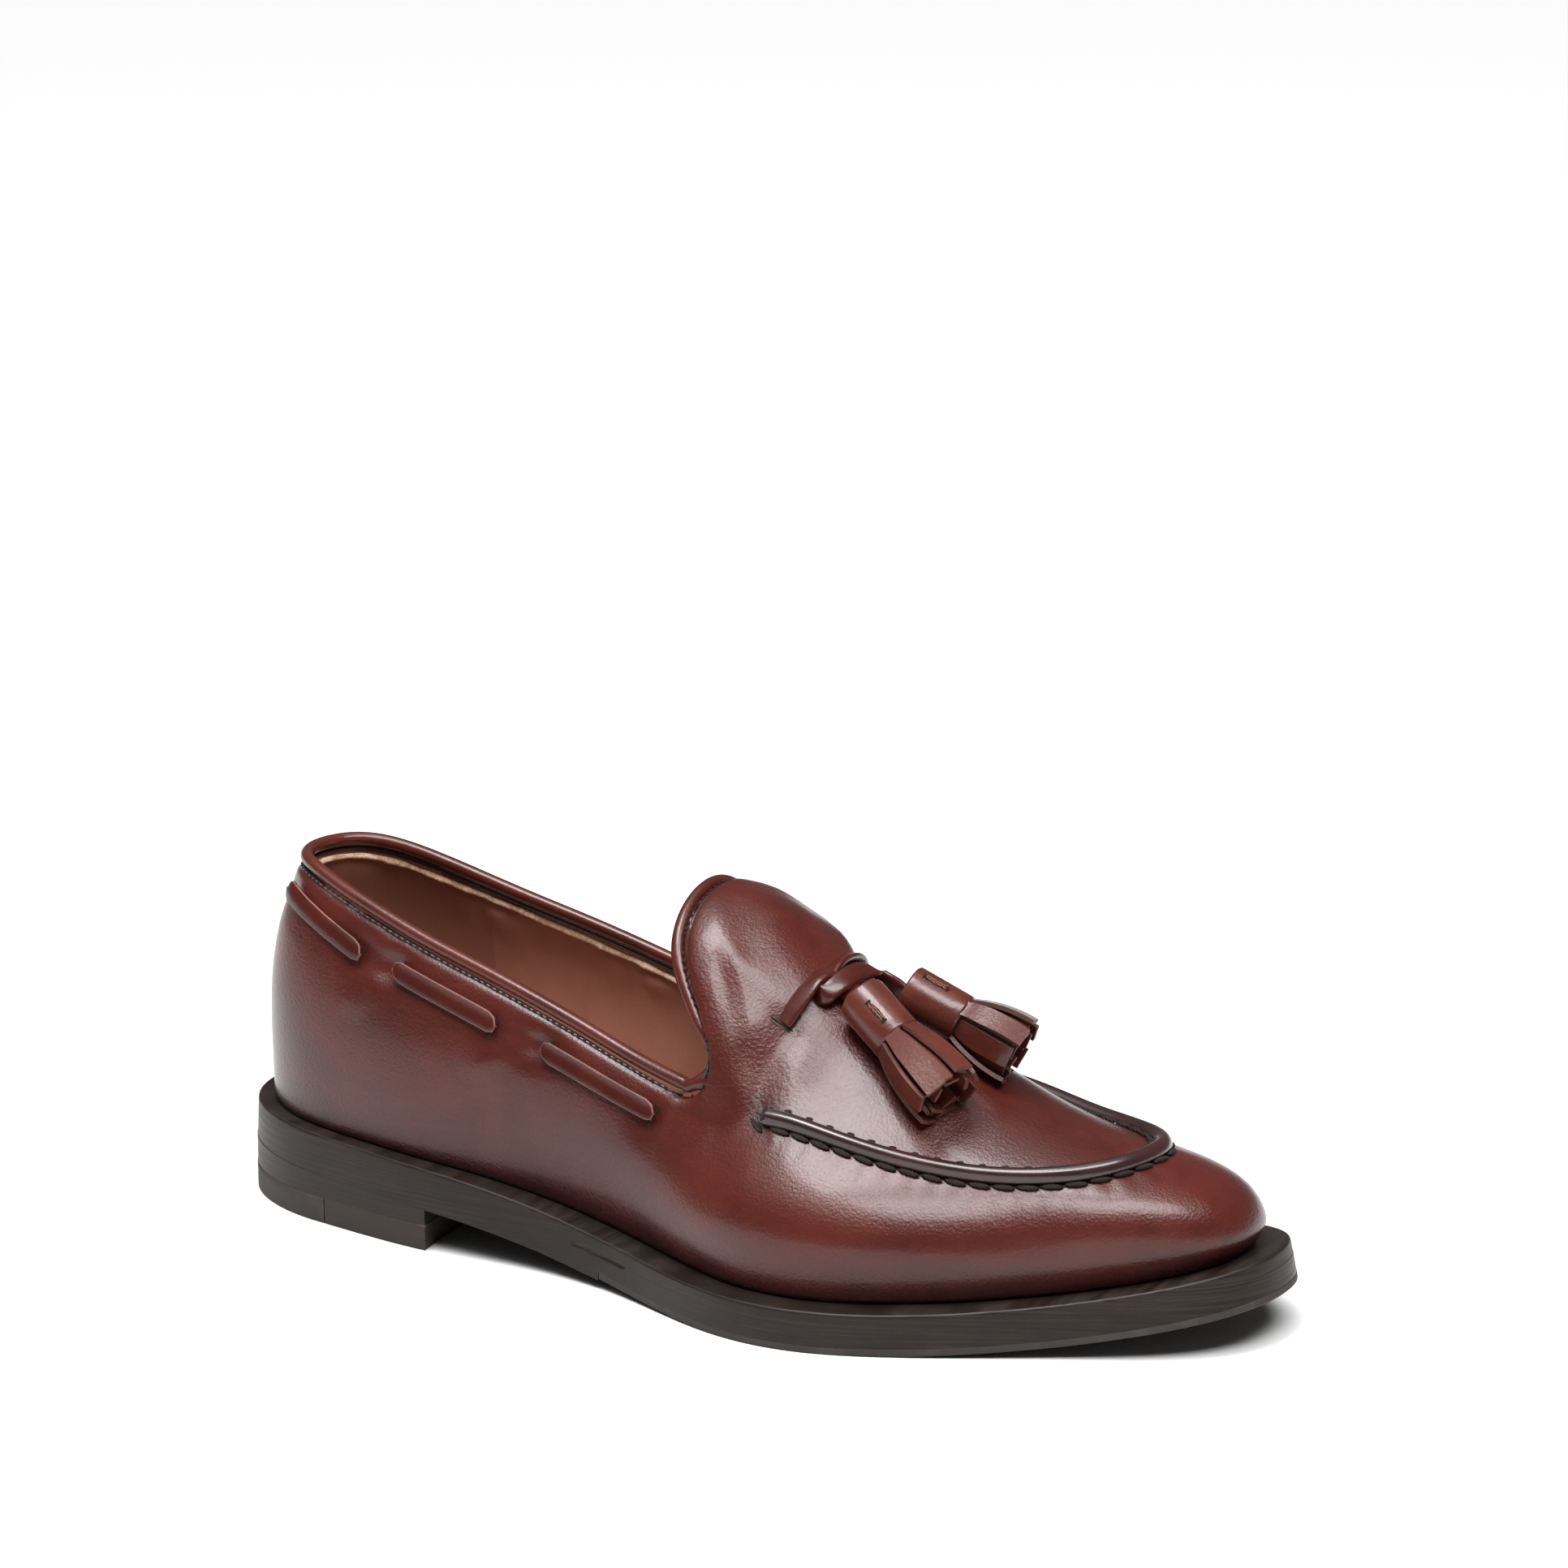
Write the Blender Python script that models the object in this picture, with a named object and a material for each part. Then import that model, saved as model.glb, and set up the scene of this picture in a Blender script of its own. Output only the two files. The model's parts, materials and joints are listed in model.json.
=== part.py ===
"""Right tassel loafer on a welted leather sole, built from its last.

Lengths are metres, +Z is up, +X runs to the toe and +Y to the inner (medial)
side of a right shoe.  The last's long axis starts at the heel's back point.
Tables hold shares of the named sizes, one row for each section of the last,
and every piece that meets the upper is worked out from the upper's own
surface plus a named clearance.
"""
import math

import bmesh
import bpy
import numpy as np
from mathutils import Vector
from mathutils.bvhtree import BVHTree

# Driving sizes of the last and the sole
OUTSOLE_LENGTH = 0.302
BALL_WIDTH = 0.1065
HEEL_LIFT = 0.0152
TOE_SPRING = 0.0121
BACK_HEIGHT = 0.0665
INSTEP_HEIGHT = 0.0915
SIDE_SWELL = 0.005
UPPER_WALL = 0.0020
CLEARANCE = 0.0003

# Sole layers and heel
RUBBER_THICKNESS = 0.0018
OUTSOLE_THICKNESS = 0.0070
WELT_THICKNESS = 0.0039
WELT_INNER_MARGIN = 0.0070
INSOLE_THICKNESS = 0.0030
INSOLE_PLAY = 0.0006
HEEL_LENGTH = 0.0745
HEEL_BREAST_HOLLOW = 0.0030
TOP_PIECE_THICKNESS = 0.0070
TOP_PIECE_SEAM = 0.0390
RUBBER_START = 0.1300

# Trim
PIPING_DIAMETER = 0.0040
ROLL_WIDTH = 0.0052
ROLL_HEIGHT = 0.0032
STRAP_WIDTH = 0.0056
STRAP_THICKNESS = 0.0013
THONG_WIDTH = 0.0062
THONG_THICKNESS = 0.0032
KNOT_THICKNESS = 0.0094
NECK_REACH = 0.0030
TASSEL_DIAMETER = 0.0138
SLEEVE_WALL = 0.0016
SLEEVE_LENGTH = 0.0165
SLEEVE_ROUNDING = 0.0005
FRINGE_ROOT = 0.0042
FRINGE_STRIPS = 9

# Resolution of the faceted solids
HALF_SOLE_STEPS = 40
HEEL_STEPS = 14
BREAST_STEPS = 8
MERGE = 0.00002
QUARTER_STEPS = 15
CORNER_STEPS = 9
TONGUE_STEPS = 8
VAMP_STEPS = 18
ROLL_STEPS = 16
RIB_STEPS = 12
PIPING_SIDES = 8
PIPING_PUSHES = 4
KNOT_SIDES = 10
SLEEVE_SIDES = 24

# Short steps over which slopes are taken, as lengths or shares
SLOPE_STEP = 0.001
AROUND_STEP = 0.004
CLIMB_STEP = 0.010

LATERAL = -1
MEDIAL = 1

# Plan of the sole: share along the length, half widths as shares of the ball width
SOLE_PLAN = (
    # along, lateral, medial
    (0.00, 0.274, 0.282),
    (0.12, 0.326, 0.307),
    (0.25, 0.383, 0.322),
    (0.36, 0.385, 0.312),
    (0.46, 0.442, 0.330),
    (0.56, 0.551, 0.380),
    (0.66, 0.569, 0.428),
    (0.76, 0.469, 0.460),
    (0.86, 0.370, 0.423),
    (1.00, 0.344, 0.357),
)
HEEL_ROUNDING = 0.0378
HEEL_ROUNDNESS = 2.2
TOE_ROUNDING = 0.0794
TOE_ROUNDNESS = 2.52
TOE_SWING = 0.0092
TOE_SWING_START = 0.60

# Underside of the sole: shares of the heel lift and of the toe spring
SOLE_PROFILE = (
    # along, heel, toe
    (0.000, 1.000, 0.000),
    (0.260, 0.737, 0.000),
    (0.340, 0.487, 0.000),
    (0.420, 0.203, 0.000),
    (0.500, 0.045, 0.000),
    (0.580, 0.000, 0.000),
    (0.700, 0.000, 0.000),
    (0.760, 0.000, 0.040),
    (0.840, 0.000, 0.220),
    (0.920, 0.000, 0.560),
    (1.000, 0.000, 1.000),
)

# Width of welt that shows outside the upper, as shares of the welt at the ball
WELT_AT_BALL = 0.0080
WELT_PLAN = (
    # along, lateral, medial
    (0.00, 0.55, 0.55),
    (0.12, 0.54, 0.54),
    (0.25, 0.72, 0.62),
    (0.36, 1.00, 0.70),
    (0.46, 1.00, 0.78),
    (0.60, 0.96, 0.92),
    (0.78, 1.02, 1.02),
    (1.00, 1.12, 1.12),
)

# Ribs of the upper, from the feather line up.  Around is the share of the half
# outline from the heel's back point to the toe's tip.
# Swell: how far the wall leans out, and how high, as shares of SIDE_SWELL and of
# the height of the rib's shoulder.
SWELL = (
    # around, lateral_out, medial_out, up
    (0.00, 0.12, 0.12, 0.38),
    (0.10, 0.20, 0.20, 0.38),
    (0.20, 0.38, 0.35, 0.40),
    (0.30, 0.50, 0.38, 0.42),
    (0.40, 0.65, 0.40, 0.44),
    (0.50, 0.62, 0.45, 0.44),
    (0.60, 0.60, 0.55, 0.44),
    (0.70, 0.72, 0.62, 0.45),
    (0.80, 0.80, 0.60, 0.38),
    (0.90, 0.80, 0.62, 0.32),
    (1.00, 0.75, 0.75, 0.27),
)

# Shoulder of each rib: the side of the quarters, then the line of the apron seam.
# X is a share of the length, Y of the ball width.  Z stands on the sole's top face,
# as a share of the back height in the quarters and of the instep height after.
QUARTER_SHOULDER = (
    # around, x, lateral_y, medial_y, z
    (0.000, 0.0265, 0.000, 0.000, 0.735),
    (0.050, 0.0370, 0.122, 0.122, 0.735),
    (0.100, 0.0680, 0.214, 0.212, 0.725),
    (0.150, 0.1175, 0.263, 0.257, 0.695),
    (0.200, 0.1735, 0.293, 0.281, 0.655),
    (0.250, 0.2290, 0.314, 0.295, 0.620),
    (0.300, 0.2870, 0.328, 0.301, 0.590),
    (0.350, 0.3440, 0.336, 0.303, 0.570),
    (0.400, 0.4010, 0.350, 0.308, 0.545),
    (0.450, 0.4610, 0.372, 0.316, 0.515),
)
VAMP_SHOULDER = (
    # around, x, lateral_y, medial_y, lateral_z, medial_z
    (0.500, 0.5170, 0.384, 0.322, 0.388, 0.384),
    (0.530, 0.5480, 0.374, 0.323, 0.420, 0.412),
    (0.560, 0.5740, 0.362, 0.323, 0.450, 0.434),
    (0.600, 0.6050, 0.357, 0.323, 0.448, 0.432),
    (0.650, 0.6450, 0.352, 0.323, 0.420, 0.412),
    (0.700, 0.6900, 0.333, 0.318, 0.386, 0.388),
    (0.750, 0.7350, 0.298, 0.306, 0.357, 0.364),
    (0.800, 0.7790, 0.256, 0.268, 0.336, 0.343),
    (0.850, 0.8190, 0.210, 0.228, 0.326, 0.330),
    (0.900, 0.8530, 0.152, 0.178, 0.322, 0.324),
    (0.950, 0.8780, 0.066, 0.113, 0.322, 0.322),
    (1.000, 0.8880, -0.038, 0.038, 0.322, 0.322),
)

# Upper end of each rib: the topline, the tongue's edge up to its middle, and from
# there the instep ridge.  Half openings and the ridge's side shift are shares of the
# ball width.  Z is a share of the back height, then of the instep height.
TOPLINE = (
    # around, x, lateral_half, medial_half, z
    (0.000, 0.0464, 0.000, 0.000, 0.991),
    (0.050, 0.0563, 0.094, 0.094, 0.994),
    (0.100, 0.0828, 0.162, 0.158, 0.992),
    (0.150, 0.1225, 0.208, 0.198, 0.952),
    (0.200, 0.1735, 0.236, 0.224, 0.890),
    (0.250, 0.2270, 0.256, 0.243, 0.830),
    (0.300, 0.2850, 0.270, 0.257, 0.786),
    (0.350, 0.3410, 0.284, 0.268, 0.755),
    (0.400, 0.3970, 0.298, 0.279, 0.722),
    (0.450, 0.4540, 0.319, 0.296, 0.672),
    (0.480, 0.4900, 0.333, 0.306, 0.643),
)
TONGUE_EDGE = (
    # around, x, lateral_half, medial_half, z
    (0.500, 0.5140, 0.340, 0.314, 0.470),
    (0.510, 0.5265, 0.334, 0.312, 0.520),
    (0.520, 0.5245, 0.318, 0.302, 0.595),
    (0.530, 0.5100, 0.296, 0.286, 0.676),
    (0.540, 0.4920, 0.263, 0.258, 0.760),
    (0.550, 0.4760, 0.216, 0.214, 0.845),
    (0.560, 0.4690, 0.122, 0.122, 0.935),
    (0.570, 0.4710, 0.000, 0.000, 0.975),
)
RIDGE = (
    # around, x, shift, z
    (0.570, 0.4710, 0.000, 0.975),
    (0.585, 0.5030, 0.004, 0.984),
    (0.600, 0.5300, 0.007, 0.945),
    (0.620, 0.5530, 0.010, 0.884),
    (0.650, 0.5850, 0.013, 0.790),
    (0.700, 0.6400, 0.017, 0.684),
    (0.750, 0.6950, 0.021, 0.597),
    (0.800, 0.7470, 0.026, 0.512),
    (0.850, 0.7900, 0.030, 0.442),
    (0.900, 0.8270, 0.032, 0.394),
    (0.950, 0.8520, 0.034, 0.362),
    (1.000, 0.8660, 0.034, 0.344),
)
CORNER_START = 0.48
TONGUE_START = 0.50
CORNER_END = 0.525
TONGUE_TOP = 0.57
SHOULDER_SHARE = 0.50
SWELL_SHARE = 0.25
ROLL_START = 0.568
EASE_REACH = 0.012
EASE_LOW = 0.20
EASE_HIGH = 0.35
EASE_WEIGHTS = (1.0, 2.0, 3.0, 2.0, 1.0)

# Lace straps round the collar: first and last place around the half outline
STRAPS = (
    # name, first, last, drop below the edge at the first and the last place
    ("back", 0.074, 0.190, 0.0066, 0.0104),
    ("middle", 0.222, 0.322, 0.0090, 0.0094),
    ("front", 0.363, 0.468, 0.0088, 0.0090),
)

# The lace from slit to slit through its knot: x as a share of the length, y of the
# ball width, lift and thickness of the knot's thickness, width of the thong's width
KNOT_ROWS = (
    # x, y, lift, width, thickness
    (0.5780, -0.205, 0.215, 0.92, 0.30),
    (0.5830, -0.165, 0.290, 1.00, 0.36),
    (0.5930, -0.130, 0.420, 1.20, 0.66),
    (0.6030, -0.085, 0.540, 1.50, 1.00),
    (0.6070, -0.030, 0.540, 1.50, 1.00),
    (0.6020, 0.025, 0.460, 1.30, 0.80),
    (0.5910, 0.085, 0.300, 1.00, 0.40),
    (0.5780, 0.165, 0.215, 0.92, 0.30),
)
KNOT_ROW_OF_NECK = {"lateral": 3, "medial": 4}

# Tassels: ends of the straight axis as shares of the length and the ball width, and the
# height of each end off the upper as a share of the tassel's diameter
TASSELS = (
    # name, start x, start y, start lift, end x, end y, end lift
    ("lateral", 0.6215, -0.098, 0.530, 0.7242, -0.1770, 0.560),
    ("medial", 0.6440, 0.006, 0.530, 0.7437, 0.0300, 0.550),
)
# Outer radius of the fringe and depth of the gaps between its strips, by distance from
# the sleeve's end as a share of the free fringe; radius as a share of the sleeve's
FRINGE_ROWS = (
    # along, radius, gap depth
    (0.015, 0.72, 0.00),
    (0.080, 0.93, 0.06),
    (0.250, 1.06, 0.30),
    (0.550, 1.16, 0.42),
    (1.000, 1.22, 0.46),
)
STRIP_PHASES = (
    # share of a strip's pitch, whether the point is on the strip
    (0.00, False),
    (0.10, True),
    (0.50, True),
    (0.90, True),
)
STRIP_STAGGER = 0.05
FRINGE_HOLLOW = 0.12


def remove_scene_objects():
    """Clear the scene of every object."""
    for item in list(bpy.data.objects):
        bpy.data.objects.remove(item, do_unlink=True)


def column(table, index):
    """One column of a table as an array."""
    return np.array([row[index] for row in table], dtype=float)


def second_derivatives(xs, ys, start=None, end=None):
    """Second derivatives of a cubic spline; an end is natural unless a slope is given."""
    count = len(xs)
    steps = np.diff(xs)
    matrix = np.zeros((count, count))
    right = np.zeros((count,) + ys.shape[1:])
    for i in range(1, count - 1):
        matrix[i, i - 1] = steps[i - 1]
        matrix[i, i] = 2.0 * (steps[i - 1] + steps[i])
        matrix[i, i + 1] = steps[i]
        rise = (ys[i + 1] - ys[i]) / steps[i] - (ys[i] - ys[i - 1]) / steps[i - 1]
        right[i] = 6.0 * rise
    matrix[0, 0] = 1.0
    matrix[-1, -1] = 1.0
    if start is not None:
        matrix[0, 0] = 2.0 * steps[0]
        matrix[0, 1] = steps[0]
        right[0] = 6.0 * ((ys[1] - ys[0]) / steps[0] - start)
    if end is not None:
        matrix[-1, -1] = 2.0 * steps[-1]
        matrix[-1, -2] = steps[-1]
        right[-1] = 6.0 * (end - (ys[-1] - ys[-2]) / steps[-1])
    return np.linalg.solve(matrix, right)


def spline(xs, ys, curve, x):
    """Value of a cubic spline at x."""
    i = int(np.clip(np.searchsorted(xs, x) - 1, 0, len(xs) - 2))
    step = xs[i + 1] - xs[i]
    before = x - xs[i]
    after = xs[i + 1] - x
    bend = (curve[i] * after ** 3 + curve[i + 1] * before ** 3) / (6.0 * step)
    line = (ys[i] / step - curve[i] * step / 6.0) * after
    return bend + line + (ys[i + 1] / step - curve[i + 1] * step / 6.0) * before


class Table:
    """A table of sections, read between its rows by a natural cubic spline."""

    def __init__(self, rows):
        self.at = column(rows, 0)
        self.values = np.array([row[1:] for row in rows], dtype=float)
        self.curve = second_derivatives(self.at, self.values)

    def __call__(self, x):
        return spline(self.at, self.values, self.curve, x)


def monotone(xs, ys, x):
    """Read a profile between its rows without overshoot."""
    steps = np.diff(xs)
    rises = np.diff(ys) / steps
    slopes = np.zeros(len(xs))
    slopes[0] = rises[0]
    slopes[-1] = rises[-1]
    for i in range(1, len(xs) - 1):
        if rises[i - 1] * rises[i] > 0.0:
            first = 2.0 * steps[i] + steps[i - 1]
            second = steps[i] + 2.0 * steps[i - 1]
            slopes[i] = (first + second) / (first / rises[i - 1] + second / rises[i])
    i = int(np.clip(np.searchsorted(xs, x) - 1, 0, len(xs) - 2))
    t = (x - xs[i]) / steps[i]
    start = ys[i] * (1.0 + 2.0 * t) * (1.0 - t) ** 2 + slopes[i] * steps[i] * t * (1.0 - t) ** 2
    return start + ys[i + 1] * t * t * (3.0 - 2.0 * t) - slopes[i + 1] * steps[i] * t * t * (1.0 - t)


def smooth_step(share):
    """Smooth rise from 0 to 1."""
    share = min(max(share, 0.0), 1.0)
    return share * share * (3.0 - 2.0 * share)


def unit(vector):
    """The vector at length one."""
    return vector / np.linalg.norm(vector)


PLAN = Table(SOLE_PLAN)
WELT = Table(WELT_PLAN)
SWELLS = Table(SWELL)
PROFILE_ALONG = column(SOLE_PROFILE, 0)
PROFILE_HEIGHT = column(SOLE_PROFILE, 1) * HEEL_LIFT + column(SOLE_PROFILE, 2) * TOE_SPRING


def rounding(distance, radius, roundness):
    """Share of the full width at a distance from a rounded end."""
    if distance >= radius:
        return 1.0
    inside = 1.0 - (1.0 - max(distance, 0.0) / radius) ** roundness
    return max(inside, 0.0) ** (1.0 / roundness)


def plan_point(along, side):
    """Point of the sole's outline at a share of its length."""
    x = along * OUTSOLE_LENGTH
    lateral, medial = PLAN(along)
    half = (lateral if side == LATERAL else medial) * BALL_WIDTH
    half *= rounding(x, HEEL_ROUNDING, HEEL_ROUNDNESS)
    half *= rounding(OUTSOLE_LENGTH - x, TOE_ROUNDING, TOE_ROUNDNESS)
    swing = max(along - TOE_SWING_START, 0.0) / (1.0 - TOE_SWING_START)
    return np.array([x, TOE_SWING * swing ** 2 + side * half])


def outline_samples(side, count=600):
    """Outline points at fine steps and the share of the half outline at each."""
    alongs = [0.5 - 0.5 * math.cos(math.pi * i / count) for i in range(count + 1)]
    points = np.array([plan_point(along, side) for along in alongs])
    lengths = np.linalg.norm(np.diff(points, axis=0), axis=1)
    around = np.concatenate(([0.0], np.cumsum(lengths)))
    return points, around / around[-1]


OUTLINES = {side: outline_samples(side) for side in (LATERAL, MEDIAL)}
PLACED_AT = (-OUTSOLE_LENGTH / 2.0,
             -(OUTLINES[MEDIAL][0][:, 1].max() + OUTLINES[LATERAL][0][:, 1].min()) / 2.0,
             0.0)
OUTLINE_HALF = float(np.sum(np.linalg.norm(np.diff(OUTLINES[LATERAL][0], axis=0), axis=1)))


def outline(around, side, inset=0.0):
    """Outline point moved inwards, at a share of the half outline."""
    points, shares = OUTLINES[side]
    place = [np.interp(around, shares, points[:, i]) for i in (0, 1)]
    before = max(around - AROUND_STEP, 0.0)
    after = min(around + AROUND_STEP, 1.0)
    run = [np.interp(after, shares, points[:, i]) - np.interp(before, shares, points[:, i])
           for i in (0, 1)]
    inward = np.array([-run[1], run[0]]) * -side
    if around <= 0.0:
        inward = np.array([1.0, 0.0])
    if around >= 1.0:
        inward = np.array([-1.0, 0.0])
    return np.array(place) + unit(inward) * inset


def underside(x):
    """Height of the sole's underside."""
    along = min(max(x / OUTSOLE_LENGTH, 0.0), 1.0)
    return monotone(PROFILE_ALONG, PROFILE_HEIGHT, along)


def above_sole(x, y, height):
    """Point at a height above the underside, square to it."""
    before = min(x, OUTSOLE_LENGTH) - SLOPE_STEP
    after = min(x + SLOPE_STEP, OUTSOLE_LENGTH)
    slope = (underside(after) - underside(before)) / (after - before)
    normal = unit(np.array([-slope, 1.0]))
    return np.array([x + normal[0] * height, y, underside(x) + normal[1] * height])


WELT_TOP = OUTSOLE_THICKNESS + CLEARANCE + WELT_THICKNESS
SEAT = WELT_TOP + CLEARANCE


def seat_height(x):
    """Height of the plane that the upper stands on."""
    return above_sole(x, 0.0, SEAT)[2]


def shown_welt(around, side):
    """Width of the welt outside the upper."""
    lateral, medial = WELT(outline(around, side)[0] / OUTSOLE_LENGTH)
    return (lateral if side == LATERAL else medial) * WELT_AT_BALL


def shoulder_rows():
    """Shoulder rows in metres: around, x, lateral y, medial y, lateral z, medial z."""
    rows = []
    for around, x, lateral, medial, z in QUARTER_SHOULDER:
        height = seat_height(x * OUTSOLE_LENGTH) + z * BACK_HEIGHT
        rows.append((around, x * OUTSOLE_LENGTH, -lateral * BALL_WIDTH, medial * BALL_WIDTH,
                     height, height))
    for around, x, lateral, medial, lateral_z, medial_z in VAMP_SHOULDER:
        seat = seat_height(x * OUTSOLE_LENGTH)
        rows.append((around, x * OUTSOLE_LENGTH, -lateral * BALL_WIDTH, medial * BALL_WIDTH,
                     seat + lateral_z * INSTEP_HEIGHT, seat + medial_z * INSTEP_HEIGHT))
    return rows


def edge_rows():
    """Edge rows in metres: around, x, lateral y, medial y, z.

    The last rows mirror the tongue's edge past its middle, so that it runs
    straight across there.
    """
    rows = []
    for table, size in ((TOPLINE, BACK_HEIGHT), (TONGUE_EDGE, INSTEP_HEIGHT)):
        for around, x, lateral, medial, z in table:
            height = seat_height(x * OUTSOLE_LENGTH) + z * size
            rows.append((around, x * OUTSOLE_LENGTH, -lateral * BALL_WIDTH, medial * BALL_WIDTH,
                         height))
    for around, x, lateral, medial, z in (rows[-2], rows[-3]):
        rows.append((2.0 * TONGUE_TOP - around, x, -lateral, -medial, z))
    return rows


def ridge_rows():
    """Ridge rows in metres: around, x, y, z."""
    return [(around, x * OUTSOLE_LENGTH, shift * BALL_WIDTH,
             seat_height(x * OUTSOLE_LENGTH) + z * INSTEP_HEIGHT)
            for around, x, shift, z in RIDGE]


SHOULDERS = Table(shoulder_rows())
EDGES = Table(edge_rows())
RIDGES = Table(ridge_rows())


def shoulder_point(around, side):
    """Point where a rib turns from the side to the top of the foot."""
    x, lateral_y, medial_y, lateral_z, medial_z = SHOULDERS(around)
    if side == LATERAL:
        return np.array([x, lateral_y, lateral_z])
    return np.array([x, medial_y, medial_z])


def top_point(around, side):
    """Upper end of a rib, on the free edge or on the instep ridge."""
    if around >= TONGUE_TOP:
        return RIDGES(around)
    x, lateral_y, medial_y, z = EDGES(around)
    return np.array([x, lateral_y if side == LATERAL else medial_y, z])


class Rib:
    """One rib of the upper, from the feather line over the side to its upper end."""

    def __init__(self, around, side):
        feather = outline(around, side, shown_welt(around, side))
        swelling = outline(around, side, 0.0)
        outward = unit(swelling - feather)
        base = above_sole(feather[0], feather[1], SEAT)
        shoulder = shoulder_point(around, side)
        top = top_point(around, side)
        lateral_out, medial_out, up = SWELLS(around)
        out = SIDE_SWELL * (lateral_out if side == LATERAL else medial_out)
        swell = base + np.array([outward[0] * out, outward[1] * out,
                                 up * (shoulder[2] - base[2])])
        self.points = np.array([base, swell, shoulder, top])
        lengths = np.linalg.norm(np.diff(self.points, axis=0), axis=1)
        self.marks = np.concatenate(([0.0], np.cumsum(lengths)))
        self.free = second_derivatives(self.marks, self.points)
        self.held = self.free
        self.hold = float(np.clip((around - TONGUE_START) / (TONGUE_TOP - TONGUE_START), 0.0, 1.0))
        if self.hold > 0.0:
            across = top - shoulder
            ridge = self.ridge_direction(around)
            end = unit(np.array([across[0], across[1], across[0] * ridge[2] / ridge[0]]))
            self.held = second_derivatives(self.marks, self.points, end=end)

    @staticmethod
    def ridge_direction(around):
        """Direction of the instep ridge towards the toe, level with its middle line."""
        low = min(max(around, TONGUE_TOP), 1.0 - CLIMB_STEP)
        return unit(RIDGES(low + CLIMB_STEP) - RIDGES(low))

    def at_length(self, length):
        """Point at a length along the rib from the feather line."""
        free = spline(self.marks, self.points, self.free, length)
        if self.hold == 0.0:
            return free
        held = spline(self.marks, self.points, self.held, length)
        return free + (held - free) * self.hold

    def at_climb(self, climb):
        """Point at a share of the climb, with the shoulder half way up."""
        length = np.interp(climb, (0.0, SWELL_SHARE, SHOULDER_SHARE, 1.0), self.marks)
        return self.at_length(float(length))


RIBS = {}


def rib_at(around, side):
    """The rib at a place, kept once it is worked out; past the toe it is the other side's."""
    if around > 1.0:
        around = 2.0 - around
        side = -side
    if around < 0.0:
        around = -around
        side = -side
    key = (round(around, 6), side)
    if key not in RIBS:
        RIBS[key] = Rib(key[0], side)
    return RIBS[key]


def upper_point(around, climb, side):
    """Point of the upper's outer face, eased between neighbouring ribs off its edges."""
    own = rib_at(around, side).at_climb(climb)
    ease = smooth_step(climb / EASE_LOW) * smooth_step((1.0 - climb) / EASE_HIGH)
    if ease <= 0.0:
        return own
    total = sum(EASE_WEIGHTS)
    mean = sum(weight * rib_at(around + step * EASE_REACH, side).at_climb(climb)
               for step, weight in zip((-2, -1, 0, 1, 2), EASE_WEIGHTS)) / total
    return own + (mean - own) * ease


def upper_normal(around, climb, side):
    """Outward normal of the upper's outer face."""
    low = max(around - AROUND_STEP, 0.0)
    high = min(around + AROUND_STEP, 1.0)
    under = max(climb - AROUND_STEP, 0.0)
    over = min(climb + AROUND_STEP, 1.0)
    along = upper_point(high, climb, side) - upper_point(low, climb, side)
    up = upper_point(around, over, side) - upper_point(around, under, side)
    if around <= 0.0 or around >= 1.0:
        along = np.array([0.0, 1.0, 0.0]) * (side if around <= 0.0 else -side)
    return unit(np.cross(along, up)) * -side


# Materials

def finish(name, colour, roughness, metallic=0.0):
    """A plain surface finish."""
    material = bpy.data.materials.new(name)
    material.use_nodes = True
    shader = material.node_tree.nodes["Principled BSDF"]
    shader.inputs["Base Color"].default_value = (*colour, 1.0)
    shader.inputs["Roughness"].default_value = roughness
    shader.inputs["Metallic"].default_value = metallic
    return material


CALF = finish("chestnut_calf", (0.150, 0.034, 0.018), 0.28)
DARK_CALF = finish("dark_chestnut_calf", (0.060, 0.016, 0.012), 0.28)
LACE_CALF = finish("lace_calf", (0.120, 0.030, 0.018), 0.35)
SOLE_EDGE = finish("brown_sole_edge", (0.026, 0.015, 0.010), 0.38)
HEEL_LEATHER = finish("brown_heel_lifts", (0.030, 0.017, 0.012), 0.40)
RUBBER = finish("brown_rubber", (0.045, 0.026, 0.018), 0.60)
LINING = finish("tan_insole", (0.420, 0.205, 0.105), 0.60)


# Building blocks

def add_object(name, bm, material, smooth=True):
    """Make an object from a bmesh, closed, its faces outward, centred on the origin."""
    bmesh.ops.remove_doubles(bm, verts=bm.verts, dist=MERGE)
    bmesh.ops.translate(bm, verts=bm.verts, vec=PLACED_AT)
    bmesh.ops.recalc_face_normals(bm, faces=bm.faces)
    mesh = bpy.data.meshes.new(name)
    bm.to_mesh(mesh)
    bm.free()
    if smooth:
        mesh.shade_smooth()
        mesh.set_sharp_from_angle(angle=math.radians(40.0))
    mesh.materials.append(material)
    item = bpy.data.objects.new(name, mesh)
    bpy.context.scene.collection.objects.link(item)
    return item


def mapped_grid(columns, rows, place):
    """A grid of faces whose corners go where place(column, row) says."""
    bm = bmesh.new()
    bmesh.ops.create_grid(bm, x_segments=columns, y_segments=rows, size=0.5)
    for vert in bm.verts:
        col = int(round((vert.co.x + 0.5) * columns))
        row = int(round((vert.co.y + 0.5) * rows))
        vert.co = Vector(place(col, row))
    return bm


def lofted(name, sections, material, closed=False):
    """A solid whose skin runs through section loops of equal count, its ends filled."""
    loops = np.array(sections)
    if closed:
        loops = np.concatenate((loops, loops[:1]))
    count = loops.shape[1]
    bm = mapped_grid(len(loops) - 1, count, lambda col, row: loops[col, row % count])
    bmesh.ops.remove_doubles(bm, verts=bm.verts, dist=MERGE)
    bmesh.ops.holes_fill(bm, edges=bm.edges, sides=0)
    return add_object(name, bm, material)


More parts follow.
